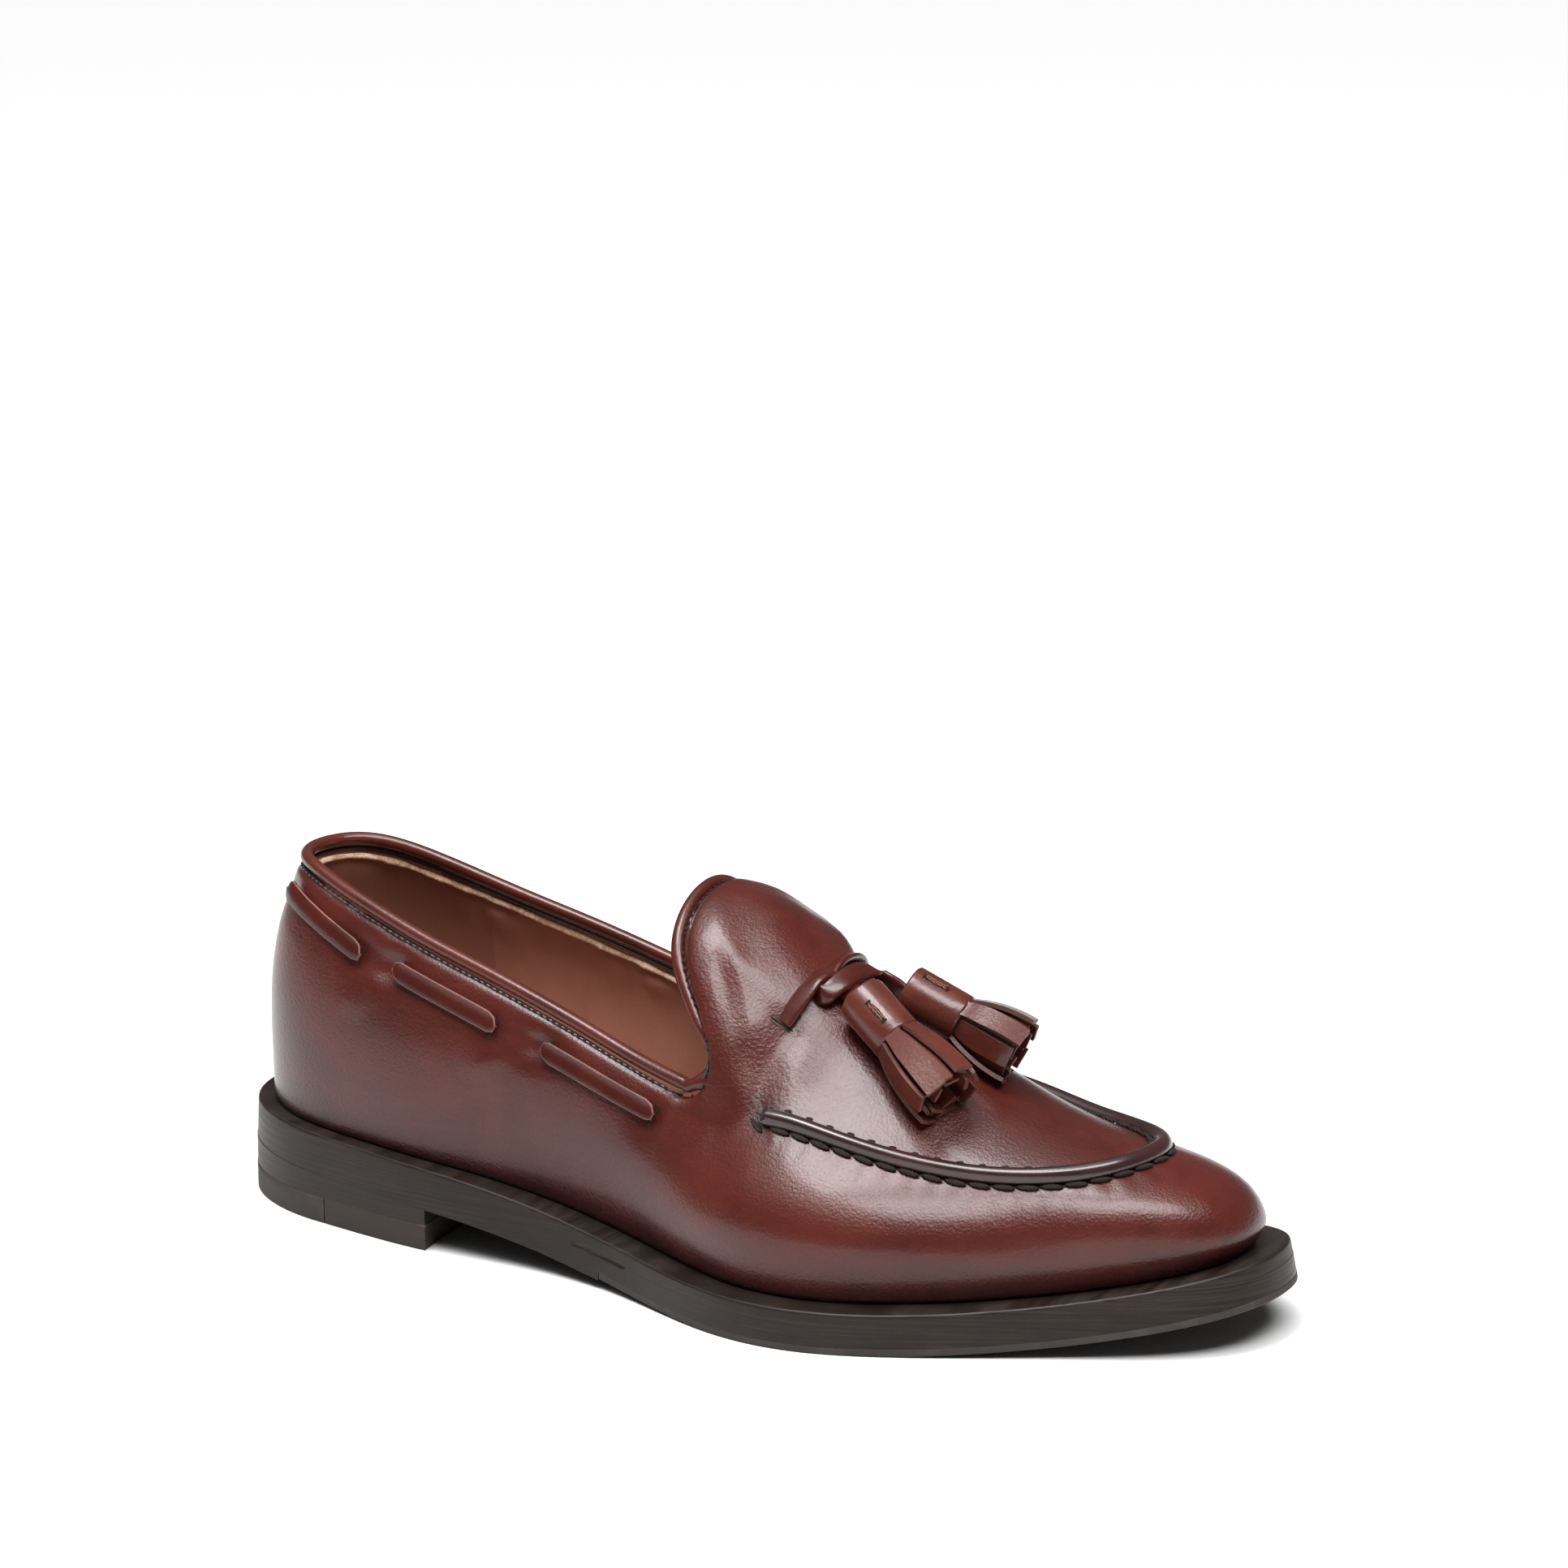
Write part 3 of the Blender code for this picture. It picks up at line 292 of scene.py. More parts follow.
def stitches(name: str, places: Sequence[tuple[np.ndarray, np.ndarray, np.ndarray]],
             size: Triple, material: bpy.types.Material) -> bpy.types.Object:
    """Lay a row of separate thread stitches.

    Args:
        name: name of the piece.
        places: middle, direction and outward normal of each stitch.
        size: length, width and thickness of a stitch.
        material: the thread's finish.

    Returns:
        One piece that holds the whole row.
    """
    bm = bmesh.new()
    for middle, run, normal in places:
        along = Vector(run).normalized()
        across = Vector(normal).cross(along).normalized()
        off = along.cross(across)
        turn = Matrix((along, across, off)).transposed().to_4x4()
        scale = Matrix.Diagonal((size[0] / 2.0, size[1] / 2.0, size[2] / 2.0, 1.0))
        bmesh.ops.create_uvsphere(bm, u_segments=8, v_segments=6, radius=1.0,
                                  matrix=Matrix.Translation(middle) @ turn @ scale)
    return finished(name, bm, material)


@dataclass
class PlanPath:
    """Middle line of a long thin CAD piece, found by cutting it with upright planes."""

    points: np.ndarray
    closed: bool

    @classmethod
    def of_node(cls, node: str, centre: tuple[float, float], start: float, end: float,
                count: int) -> "PlanPath":
        """Cut a node with half planes round a centre.

        Args:
            node: name of the CAD node.
            centre: plan position of the line that the half planes share.
            start: first direction, in degrees from +X.
            end: last direction, in degrees from +X.
            count: number of cuts.

        Returns:
            The middle line, counter-clockwise in plan.
        """
        bm = merged(node, join=False)
        ends = np.array([[edge.verts[0].co, edge.verts[1].co] for edge in bm.edges])
        bm.free()
        origin = np.array([centre[0], centre[1], 0.0])
        found = []
        for turn in np.radians(np.linspace(start, end, count)):
            ahead = np.array([math.cos(turn), math.sin(turn), 0.0])
            across = np.array([-math.sin(turn), math.cos(turn), 0.0])
            gaps = (ends - origin) @ across
            cut = gaps[:, 0] * gaps[:, 1] < 0.0
            share = gaps[cut, 0] / (gaps[cut, 0] - gaps[cut, 1])
            hits = ends[cut, 0] + (ends[cut, 1] - ends[cut, 0]) * share[:, None]
            hits = hits[(hits - origin) @ ahead > 0.0]
            if len(hits):
                found.append((hits.min(axis=0) + hits.max(axis=0)) / 2.0)
        closed = abs(end - start) >= 359.0
        return cls(cls.even(np.array(found[:-1] if closed else found), count, closed), closed)

    @staticmethod
    def even(line: np.ndarray, count: int, closed: bool) -> np.ndarray:
        """Smooth a line a little and set its points at even steps."""
        for _ in range(3):
            if closed:
                line = (np.roll(line, 1, axis=0) + 2.0 * line + np.roll(line, -1, axis=0)) / 4.0
            else:
                line[1:-1] = (line[:-2] + 2.0 * line[1:-1] + line[2:]) / 4.0
        if closed:
            line = np.vstack((line, line[:1]))
        return even_steps(line, count)

    def __post_init__(self) -> None:
        """Work out directions, outward sides and lengths along the line."""
        steps = np.gradient(self.points, axis=0)
        if self.closed:
            steps[0] = steps[-1] = self.points[1] - self.points[-2]
        self.runs = unit(steps)
        self.outs = unit(np.cross(self.runs, UP))
        self.marks = lengths_along(self.points)
        self.length = float(self.marks[-1])
        self.tree = point_tree(self.points)

    def at(self, length: float) -> tuple[np.ndarray, np.ndarray, np.ndarray]:
        """Point, direction and outward side at a length along the line."""
        values = []
        for source in (self.points, self.runs, self.outs):
            values.append(np.array([np.interp(length, self.marks, source[:, i]) for i in range(3)]))
        return values[0], unit(values[1]), unit(values[2])

    def nearest(self, places: np.ndarray) -> tuple[np.ndarray, np.ndarray]:
        """The line's nearest point to each place, and how far off it is."""
        found = [self.tree.find(place) for place in places]
        return np.array([point for point, _, _ in found]), np.array([gap for _, _, gap in found])

    def measure(self, places: np.ndarray) -> tuple[np.ndarray, np.ndarray, np.ndarray]:
        """Distance from the line, share of its length and reach outside it, for each place."""
        gaps = np.zeros(len(places))
        along = np.zeros(len(places))
        sides = np.zeros(len(places))
        for k, place in enumerate(places):
            _, i, distance = self.tree.find(place)
            away = place - self.points[i]
            along[k] = self.marks[i] + away @ self.runs[i]
            gaps[k] = distance
            sides[k] = away @ self.outs[i]
        return gaps, along / self.length, sides


# Shader helpers

class Nodes:
    """A short way to place and wire the nodes of one tree."""

    def __init__(self, tree: bpy.types.NodeTree) -> None:
        """Keep the tree to work on."""
        self.tree = tree

    def add(self, kind: str, **values: object) -> bpy.types.Node:
        """Place a node and set its plain properties."""
        node = self.tree.nodes.new(kind)
        for key, value in values.items():
            setattr(node, key, value)
        return node

    def wire(self, source: Socket, target: Socket) -> None:
        """Join two sockets."""
        self.tree.links.new(source, target)

    def put(self, target: Socket, value: object) -> None:
        """Wire a socket to a socket, or set its number or colour."""
        if isinstance(value, Socket):
            self.wire(value, target)
        else:
            target.default_value = value

    def maths(self, operation: str, *values: object, clamp: bool = False) -> Socket:
        """A Math node's result."""
        node = self.add("ShaderNodeMath", operation=operation, use_clamp=clamp)
        for socket, value in zip(node.inputs, values):
            self.put(socket, value)
        return node.outputs[0]

    def plus(self, base: object, value: object, weight: float) -> Socket:
        """A base with a weighted value added."""
        return self.maths("ADD", base, self.maths("MULTIPLY", value, weight))

    def blend(self, first: object, first_weight: float, second: object,
              second_weight: float) -> Socket:
        """The weighted sum of two values."""
        return self.plus(self.maths("MULTIPLY", first, first_weight), second, second_weight)

    def ramp(self, value: object, low: float, high: float, first: float = 0.0,
             last: float = 1.0) -> Socket:
        """A smooth step from one value to another between two limits."""
        node = self.add("ShaderNodeMapRange", interpolation_type="SMOOTHSTEP")
        for socket, entry in zip(node.inputs, (value, low, high, first, last)):
            self.put(socket, entry)
        return node.outputs[0]

    def mix(self, share: object, first: object, second: object) -> Socket:
        """A colour mixed from two by a share."""
        node = self.add("ShaderNodeMix", data_type="RGBA")
        self.put(node.inputs[0], share)
        self.put(node.inputs[6], first)
        self.put(node.inputs[7], second)
        return node.outputs[2]

    def noise(self, place: object, scale: object, detail: float = 3.0, rough: float = 0.5,
              warp: float = 0.0) -> Socket:
        """A noise texture's value."""
        node = self.add("ShaderNodeTexNoise")
        for key, value in (("Vector", place), ("Scale", scale), ("Detail", detail),
                           ("Roughness", rough), ("Distortion", warp)):
            self.put(node.inputs[key], value)
        return node.outputs[0]

    def cells(self, place: object, scale: object, feature: str = "F1") -> Socket:
        """A Voronoi texture's distance."""
        node = self.add("ShaderNodeTexVoronoi", feature=feature)
        self.put(node.inputs["Vector"], place)
        self.put(node.inputs["Scale"], scale)
        return node.outputs[0]

    def stretched(self, place: object, scale: Triple,
                  turn: Triple = (0.0, 0.0, 0.0)) -> Socket:
        """A place scaled and turned by a Mapping node."""
        node = self.add("ShaderNodeMapping")
        self.put(node.inputs["Vector"], place)
        node.inputs["Scale"].default_value = scale
        node.inputs["Rotation"].default_value = turn
        return node.outputs[0]

    def measure(self, attribute: Attribute) -> Socket:
        """A number that the piece carries."""
        return self.add("ShaderNodeAttribute", attribute_name=attribute.value).outputs["Fac"]


def effect(name: str, inputs: Sequence[tuple[str, float]],
           outputs: Sequence[str]) -> tuple[bpy.types.NodeTree, bpy.types.Node, bpy.types.Node]:
    """Start a node group with number sockets and a place input.

    Args:
        name: name of the group.
        inputs: name and default of each number input.
        outputs: names of the number outputs.

    Returns:
        The group, its input node and its output node.
    """
    group = bpy.data.node_groups.new(name, "ShaderNodeTree")
    group.interface.new_socket("Place", in_out="INPUT", socket_type="NodeSocketVector")
    for label, value in inputs:
        socket = group.interface.new_socket(label, in_out="INPUT", socket_type="NodeSocketFloat")
        socket.default_value = value
    for label in outputs:
        group.interface.new_socket(label, in_out="OUTPUT", socket_type="NodeSocketFloat")
    return group, group.nodes.new("NodeGroupInput"), group.nodes.new("NodeGroupOutput")


def leather_grain() -> bpy.types.NodeTree:
    """Fine pebbled grain of calf: height, and a mask of its pores."""
    group, start, end = effect("leather_grain", (("Scale", 1100.0), ("Flex", 0.0)),
                               ("Height", "Pores"))
    nodes = Nodes(group)
    place, scale, flex = start.outputs[:3]
    pebbles = nodes.cells(place, scale, "SMOOTH_F1")
    fine = nodes.noise(place, nodes.maths("MULTIPLY", scale, 2.1), 3.0, 0.6)
    drawn = nodes.stretched(place, (1.0, 0.35, 1.0), (0.0, 0.0, 0.60))
    wrinkles = nodes.noise(drawn, nodes.maths("MULTIPLY", scale, 0.80), 3.0, 0.6, 0.3)
    height = nodes.blend(pebbles, 0.55, fine, 0.45)
    folds = nodes.maths("MULTIPLY", wrinkles, nodes.maths("MULTIPLY", flex, 1.3))
    nodes.wire(nodes.maths("ADD", height, folds), end.inputs["Height"])
    nodes.wire(nodes.ramp(pebbles, 0.15, 0.65), end.inputs["Pores"])
    return group


def cut_edge() -> bpy.types.NodeTree:
    """Fine level striations of a cut and polished leather edge."""
    group, start, end = effect("cut_edge", (("Scale", 240.0),), ("Height", "Streaks"))
    nodes = Nodes(group)
    place, scale = start.outputs[:2]
    level = nodes.stretched(place, (0.10, 0.10, 6.0))
    streaks = nodes.noise(level, scale, 4.0, 0.6, 0.2)
    fine = nodes.noise(place, nodes.maths("MULTIPLY", scale, 6.0), 3.0, 0.6)
    nodes.wire(nodes.blend(streaks, 0.8, fine, 0.2), end.inputs["Height"])
    nodes.wire(nodes.ramp(streaks, 0.35, 0.68), end.inputs["Streaks"])
    return group


class Effects:
    """The node groups that several finishes share, built once."""

    def __init__(self) -> None:
        """Build the grain of calf and the cut edge of the sole."""
        self.grain = leather_grain()
        self.cut = cut_edge()


class Surface(Nodes):
    """A material under way, with its Principled shader and its object coordinates."""

    SOCKETS = {"colour": "Base Color", "roughness": "Roughness", "specular": "Specular IOR Level",
               "coat": "Coat Weight", "coat_roughness": "Coat Roughness"}

    def __init__(self, name: str) -> None:
        """Start the material of a name."""
        self.material = bpy.data.materials.new(name)
        self.material.use_nodes = True
        super().__init__(self.material.node_tree)
        self.shader = self.tree.nodes["Principled BSDF"]
        self.place = self.add("ShaderNodeTexCoord").outputs["Object"]

    def group(self, tree: bpy.types.NodeTree, **values: object) -> bpy.types.Node:
        """Place a node group at the object coordinates and set its numbers."""
        node = self.add("ShaderNodeGroup", node_tree=tree)
        for label, value in {"Place": self.place, **values}.items():
            self.put(node.inputs[label], value)
        return node

    def give(self, **values: object) -> None:
        """Wire or set the shader's sockets by their short names."""
        for label, value in values.items():
            self.put(self.shader.inputs[self.SOCKETS[label]], value)

    def bump(self, height: Socket, strength: float, distance: float) -> None:
        """Feed a height into the shader's normal."""
        node = self.add("ShaderNodeBump")
        for label, value in (("Strength", strength), ("Distance", distance), ("Height", height)):
            self.put(node.inputs[label], value)
        self.wire(node.outputs["Normal"], self.shader.inputs["Normal"])


Colour = tuple[float, float, float, float]


@dataclass(frozen=True)
class Calf:
    """Smooth burnished calf leather."""

    name: str
    light: Colour = (0.078, 0.0125, 0.0080, 1.0)
    deep: Colour = (0.051, 0.0086, 0.0062, 1.0)
    burnt: Colour = (0.016, 0.0045, 0.0040, 1.0)
    roughness: float = 0.27
    specular: float = 0.33
    coat: float = 0.22
    coat_roughness: float = 0.15
    grain_scale: float = 1100.0
    grain: float = 0.50
    relief: float = 0.00025
    pore_tone: float = 0.08
    measured: bool = False
    stitch_count: int = 37
    pucker_height: float = 1.1

    def build(self, effects: Effects) -> bpy.types.Material:
        """Make the material.

        Args:
            effects: the shared node groups.

        Returns:
            The finished material.
        """
        calf = Surface(self.name)
        grain = calf.group(effects.grain, Scale=self.grain_scale)
        cloud = calf.noise(calf.place, 28.0, 4.0, 0.55, 0.4)
        streak = calf.noise(calf.stretched(calf.place, (0.5, 1.0, 2.4)), 130.0, 4.0, 0.6, 0.8)
        tone = calf.ramp(calf.blend(cloud, 0.7, streak, 0.3), 0.36, 0.64)
        colour = calf.mix(tone, self.deep, self.light)
        height = grain.outputs["Height"]
        if self.measured:
            calf.put(grain.inputs["Flex"], calf.measure(Attribute.FLEX))
            colour = calf.mix(self.burn(calf, cloud), colour, self.burnt)
            height = calf.maths("ADD", height, self.pucker(calf))
        pores = calf.maths("MULTIPLY", grain.outputs["Pores"], self.pore_tone)
        calf.give(colour=calf.mix(pores, colour, self.burnt),
                  roughness=calf.plus(self.roughness - 0.06, cloud, 0.12),
                  specular=self.specular, coat=self.coat, coat_roughness=self.coat_roughness)
        calf.bump(height, self.grain, self.relief)
        return calf.material

    @staticmethod
    def burn(nodes: Nodes, cloud: Socket) -> Socket:
        """Share of dark burnish near the feather line, the seams and the slits."""
        wander = nodes.maths("MULTIPLY", nodes.maths("SUBTRACT", cloud, 0.5), 0.010)
        foot = nodes.maths("ADD", nodes.measure(Attribute.FOOT), wander)
        most = nodes.ramp(foot, 0.0, 0.017, 0.85, 0.0)
        for attribute, start, end, share in ((Attribute.SEAM, 0.0022, 0.006, 0.45),
                                             (Attribute.EDGE, 0.0022, 0.006, 0.45),
                                             (Attribute.SLIT, 0.0, 0.005, 0.60)):
            near = nodes.ramp(nodes.measure(attribute), start, end, share, 0.0)
            most = nodes.maths("MAXIMUM", most, near)
        return most

    def pucker(self, nodes: Nodes) -> Socket:
        """Height of the small gathers that the hand stitches pull along the seam."""
        turn = nodes.maths("MULTIPLY", nodes.measure(Attribute.SEAM_ALONG),
                           2.0 * math.pi * self.stitch_count)
        reach = nodes.maths("MULTIPLY", nodes.measure(Attribute.PUCKER), self.pucker_height)
        return nodes.maths("MULTIPLY", nodes.maths("SINE", turn), reach)


@dataclass(frozen=True)
class Lining:
    """Smooth tan lining leather, a little rubbed."""

    name: str
    colour: Colour = (0.275, 0.113, 0.080, 1.0)
    shade: Colour = (0.235, 0.094, 0.064, 1.0)
    roughness: float = 0.50
    grain: float = 0.20
    counter: Colour = (0.178, 0.068, 0.044, 1.0)
    counter_front: float = -0.0968
    counter_blur: float = 0.0004
    counter_share: float = 0.75

    def build(self, effects: Effects) -> bpy.types.Material:
        """Make the material."""
        hide = Surface(self.name)
        grain = hide.group(effects.grain, Scale=1500.0)
        cloud = hide.noise(hide.place, 45.0, 4.0, 0.6, 0.5)
        length = hide.add("ShaderNodeSeparateXYZ")
        hide.put(length.inputs[0], hide.place)
        behind = hide.ramp(length.outputs[0], self.counter_front - self.counter_blur,
                           self.counter_front + self.counter_blur, self.counter_share, 0.0)
        colour = hide.mix(hide.ramp(cloud, 0.35, 0.65), self.shade, self.colour)
        hide.give(colour=hide.mix(behind, colour, self.counter),
                  roughness=hide.plus(self.roughness - 0.08, cloud, 0.16))
        hide.bump(grain.outputs["Height"], self.grain, 0.0002)
        return hide.material


@dataclass(frozen=True)
class Suede:
    """Raw cut edge of the lining, fibrous and pale: its own pale colour raised further as painted
    light, since it sits in the collar's shade.
    """

    name: str
    # Paler than the real edge: painted light lifting it out of the shade inside the collar.
    colour: Colour = (0.860, 0.620, 0.450, 1.0)
    shade: Colour = (0.450, 0.240, 0.150, 1.0)

    def build(self, effects: Effects) -> bpy.types.Material:
        """Make the material."""
        suede = Surface(self.name)
        fibre = suede.noise(suede.place, 900.0, 5.0, 0.7, 1.0)
        patch = suede.noise(suede.place, 180.0, 3.0, 0.6)
        share = suede.ramp(suede.blend(fibre, 0.5, patch, 0.5), 0.38, 0.60)
        suede.give(colour=suede.mix(share, self.shade, self.colour),
                   roughness=suede.plus(0.80, patch, 0.15))
        suede.bump(fibre, 0.8, 0.0004)
        return suede.material


@dataclass(frozen=True)
class EdgeInk:
    """Dark dyed and polished cut leather of the sole and heel."""

    name: str
    colour: Colour = (0.0095, 0.0055, 0.0040, 1.0)
    streak: Colour = (0.0260, 0.0180, 0.0135, 1.0)
    roughness: float = 0.44
    specular: float = 0.27
    relief: float = 0.50

    def build(self, effects: Effects) -> bpy.types.Material:
        """Make the material."""
        ink = Surface(self.name)
        cut = ink.group(effects.cut)
        streaks = cut.outputs["Streaks"]
        wear = ink.noise(ink.place, 60.0, 5.0, 0.6, 0.5)
        share = ink.maths("MULTIPLY", streaks, ink.ramp(wear, 0.30, 0.65, 0.35, 1.0))
        ink.give(colour=ink.mix(share, self.colour, self.streak),
                 roughness=ink.plus(self.roughness - 0.05, streaks, 0.12), specular=self.specular)
        ink.bump(cut.outputs["Height"], self.relief, 0.00018)
        return ink.material


@dataclass(frozen=True)
class Rubber:
    """Matt brown sole rubber with a fine stipple."""

    name: str
    colour: Colour = (0.0240, 0.0175, 0.0140, 1.0)
    dust: Colour = (0.0450, 0.0360, 0.0300, 1.0)
    roughness: float = 0.62

    def build(self, effects: Effects) -> bpy.types.Material:
        """Make the material."""
        rubber = Surface(self.name)
        stipple = rubber.noise(rubber.place, 1400.0, 3.0, 0.6)
        cloud = rubber.noise(rubber.place, 70.0, 4.0, 0.6)
        rubber.give(colour=rubber.mix(rubber.ramp(cloud, 0.45, 0.80), self.colour, self.dust),
                    roughness=rubber.plus(self.roughness, cloud, 0.12))
        rubber.bump(stipple, 0.35, 0.0002)
        return rubber.material


@dataclass(frozen=True)
class Thread:
    """Waxed thread, laid in plies."""

    name: str
    colour: Colour = (0.0080, 0.0045, 0.0040, 1.0)
    worn: Colour = (0.0420, 0.0270, 0.0210, 1.0)
    roughness: float = 0.58
    specular: float = 0.30
    ply_scale: float = 700.0

    def build(self, effects: Effects) -> bpy.types.Material:
        """Make the material."""
        thread = Surface(self.name)
        plies = thread.add("ShaderNodeTexWave", wave_type="BANDS", bands_direction="DIAGONAL")
        for label, value in (("Vector", thread.place), ("Scale", self.ply_scale),
                             ("Distortion", 1.5)):
            thread.put(plies.inputs[label], value)
        fuzz = thread.noise(thread.place, 2200.0, 2.0, 0.6)
        share = thread.maths("MULTIPLY", plies.outputs["Fac"], fuzz)
        thread.give(colour=thread.mix(share, self.colour, self.worn),
                    roughness=thread.plus(self.roughness, fuzz, 0.2), specular=self.specular)
        thread.bump(plies.outputs["Fac"], 0.8, 0.0003)
        return thread.material


class Finishes:
    """Every material of the shoe."""

    def __init__(self) -> None:
        """Build the shared effects and the materials."""
        effects = Effects()
        self.upper = Calf("chestnut_calf_upper", grain=0.62, grain_scale=1350.0,
                          measured=True).build(effects)
        self.piping = Calf("chestnut_calf_piping", light=(0.084, 0.0145, 0.0088, 1.0),
                           deep=(0.050, 0.0092, 0.0060, 1.0), grain=0.30).build(effects)
        self.roll = Calf("burnished_calf_roll", light=(0.036, 0.0105, 0.0095, 1.0),
                         deep=(0.018, 0.0060, 0.0058, 1.0), roughness=0.28, specular=0.5,
                         coat=0.45, coat_roughness=0.14, grain=0.12).build(effects)
        self.lace = Calf("calf_lace", light=(0.058, 0.0086, 0.0056, 1.0),
                         deep=(0.038, 0.0060, 0.0042, 1.0), grain=0.25).build(effects)
        # Pale rounded rims of the bars: partly the cut edge's own paler colour, partly painted
        # highlight where the light catches the rims.
        self.lace_rim_and_highlight = Calf("calf_lace_edge", light=(0.230, 0.085, 0.060, 1.0),
                              deep=(0.110, 0.045, 0.036, 1.0), roughness=0.5,
                              coat=0.0, grain=0.30).build(effects)
        self.tassel = Calf("calf_tassel", light=(0.098, 0.0225, 0.0150, 1.0),
                           deep=(0.062, 0.0140, 0.0100, 1.0), grain=0.32).build(effects)
        self.strip_edge = Calf("calf_strip_edge", light=(0.150, 0.062, 0.046, 1.0),
                               deep=(0.055, 0.022, 0.017, 1.0), roughness=0.55,
                               coat=0.0, grain=0.40).build(effects)
        # Near-black calf for the slit marks: painted shade standing in for the dark openings of the
        # cuts and of the slot under each tassel's bar.
        self.slit = Calf("calf_slit", light=(0.012, 0.0045, 0.0038, 1.0),
                         deep=(0.008, 0.0032, 0.0028, 1.0), roughness=0.5,
                         coat=0.0, grain=0.10).build(effects)
        # Grey calf for the folded edge under the piping: its grey base colour is a painted highlight
        # standing for the light the edge catches.
        self.fold = Calf("calf_fold_edge", light=(0.060, 0.052, 0.058, 1.0),
                         deep=(0.022, 0.016, 0.018, 1.0), roughness=0.30, specular=0.6,
                         coat=0.4, grain=0.15).build(effects)
        self.lining = Lining("tan_lining").build(effects)
        self.sock = Lining("tan_sock", colour=(0.500, 0.230, 0.130, 1.0),
                           shade=(0.430, 0.190, 0.105, 1.0),
                           counter=(0.430, 0.190, 0.105, 1.0)).build(effects)
        self.raw_edge = Suede("raw_lining_edge").build(effects)
        self.sole = EdgeInk("brown_sole_edge").build(effects)
        self.heel = EdgeInk("brown_heel_edge", colour=(0.0125, 0.0085, 0.0070, 1.0)).build(effects)
        self.lift = EdgeInk("brown_top_lift", colour=(0.0300, 0.0210, 0.0165, 1.0),
                            streak=(0.0420, 0.0310, 0.0250, 1.0), roughness=0.55).build(effects)
        self.rubber = Rubber("brown_rubber").build(effects)
        self.thread = Thread("dark_waxed_thread").build(effects)
        self.tan_thread = Thread("brown_bar_thread", colour=(0.120, 0.040, 0.022, 1.0),
                                 worn=(0.420, 0.200, 0.130, 1.0)).build(effects)


# The shoe's pieces

class Seen(Enum):
    """The side that a fold is drawn from: the two axes of its points, and what it is laid on."""

    TOP = (0, 1, 2, 1.0, 0.030)
    LATERAL = (0, 2, 1, -1.0, 0.0)
    MEDIAL = (0, 2, 1, 1.0, 0.006)


@dataclass(frozen=True)
class Fold:
    """A soft trough or ridge laid on the upper.

    Height is positive for a ridge.  The fold fades round its line over its width.
    """

    start: tuple[float, float]
    end: tuple[float, float]
    height: float
    width: float
    seen: Seen = Seen.TOP


TOP_FOLDS = (
    Fold((0.0170, -0.0310), (0.0110, -0.0300), 0.0011, 0.0040),
    Fold((0.0230, -0.0330), (0.0130, -0.0340), -0.0007, 0.0030),
    Fold((0.0215, -0.0180), (0.0120, -0.0250), 0.0010, 0.0032),
    Fold((0.0225, -0.0145), (0.0080, -0.0150), 0.0005, 0.0028),
    Fold((0.0250, -0.0190), (0.0220, -0.0285), -0.0008, 0.0034),
    Fold((0.0300, -0.0170), (0.0420, -0.0270), -0.0003, 0.0050),
    Fold((0.0110, -0.0235), (0.0050, -0.0190), -0.0005, 0.0026),
    Fold((0.0215, 0.0185), (0.0120, 0.0260), 0.0008, 0.0035),
    Fold((0.0250, 0.0200), (0.0220, 0.0300), -0.0007, 0.0034),
    Fold((0.0170, 0.0360), (0.0110, 0.0360), 0.0008, 0.0045),
    Fold((0.0560, -0.0100), (0.0640, 0.0160), -0.0003, 0.0070),
    Fold((0.0700, -0.0200), (0.0760, 0.0100), -0.0003, 0.0060),
)
SLIT_FOLDS = (
    Fold((-0.0965, 0.0790), (-0.0980, 0.0700), 0.0007, 0.0017, Seen.LATERAL),
    Fold((-0.0990, 0.0670), (-0.1030, 0.0620), 0.0006, 0.0024, Seen.LATERAL),
    Fold((-0.0935, 0.0730), (-0.0935, 0.0725), -0.0010, 0.0032, Seen.LATERAL),
    Fold((-0.0545, 0.0660), (-0.0560, 0.0560), 0.0007, 0.0017, Seen.LATERAL),
    Fold((-0.0570, 0.0545), (-0.0590, 0.0520), 0.0006, 0.0022, Seen.LATERAL),
    Fold((-0.0465, 0.0605), (-0.0465, 0.0600), -0.0010, 0.0032, Seen.LATERAL),
    Fold((-0.0025, 0.0520), (-0.0040, 0.0430), 0.0007, 0.0017, Seen.LATERAL),
)
FOLDS = TOP_FOLDS + SLIT_FOLDS + tuple(
    replace(SLIT_FOLDS[number], seen=Seen.MEDIAL) for number in (0, 2, 3, 5))


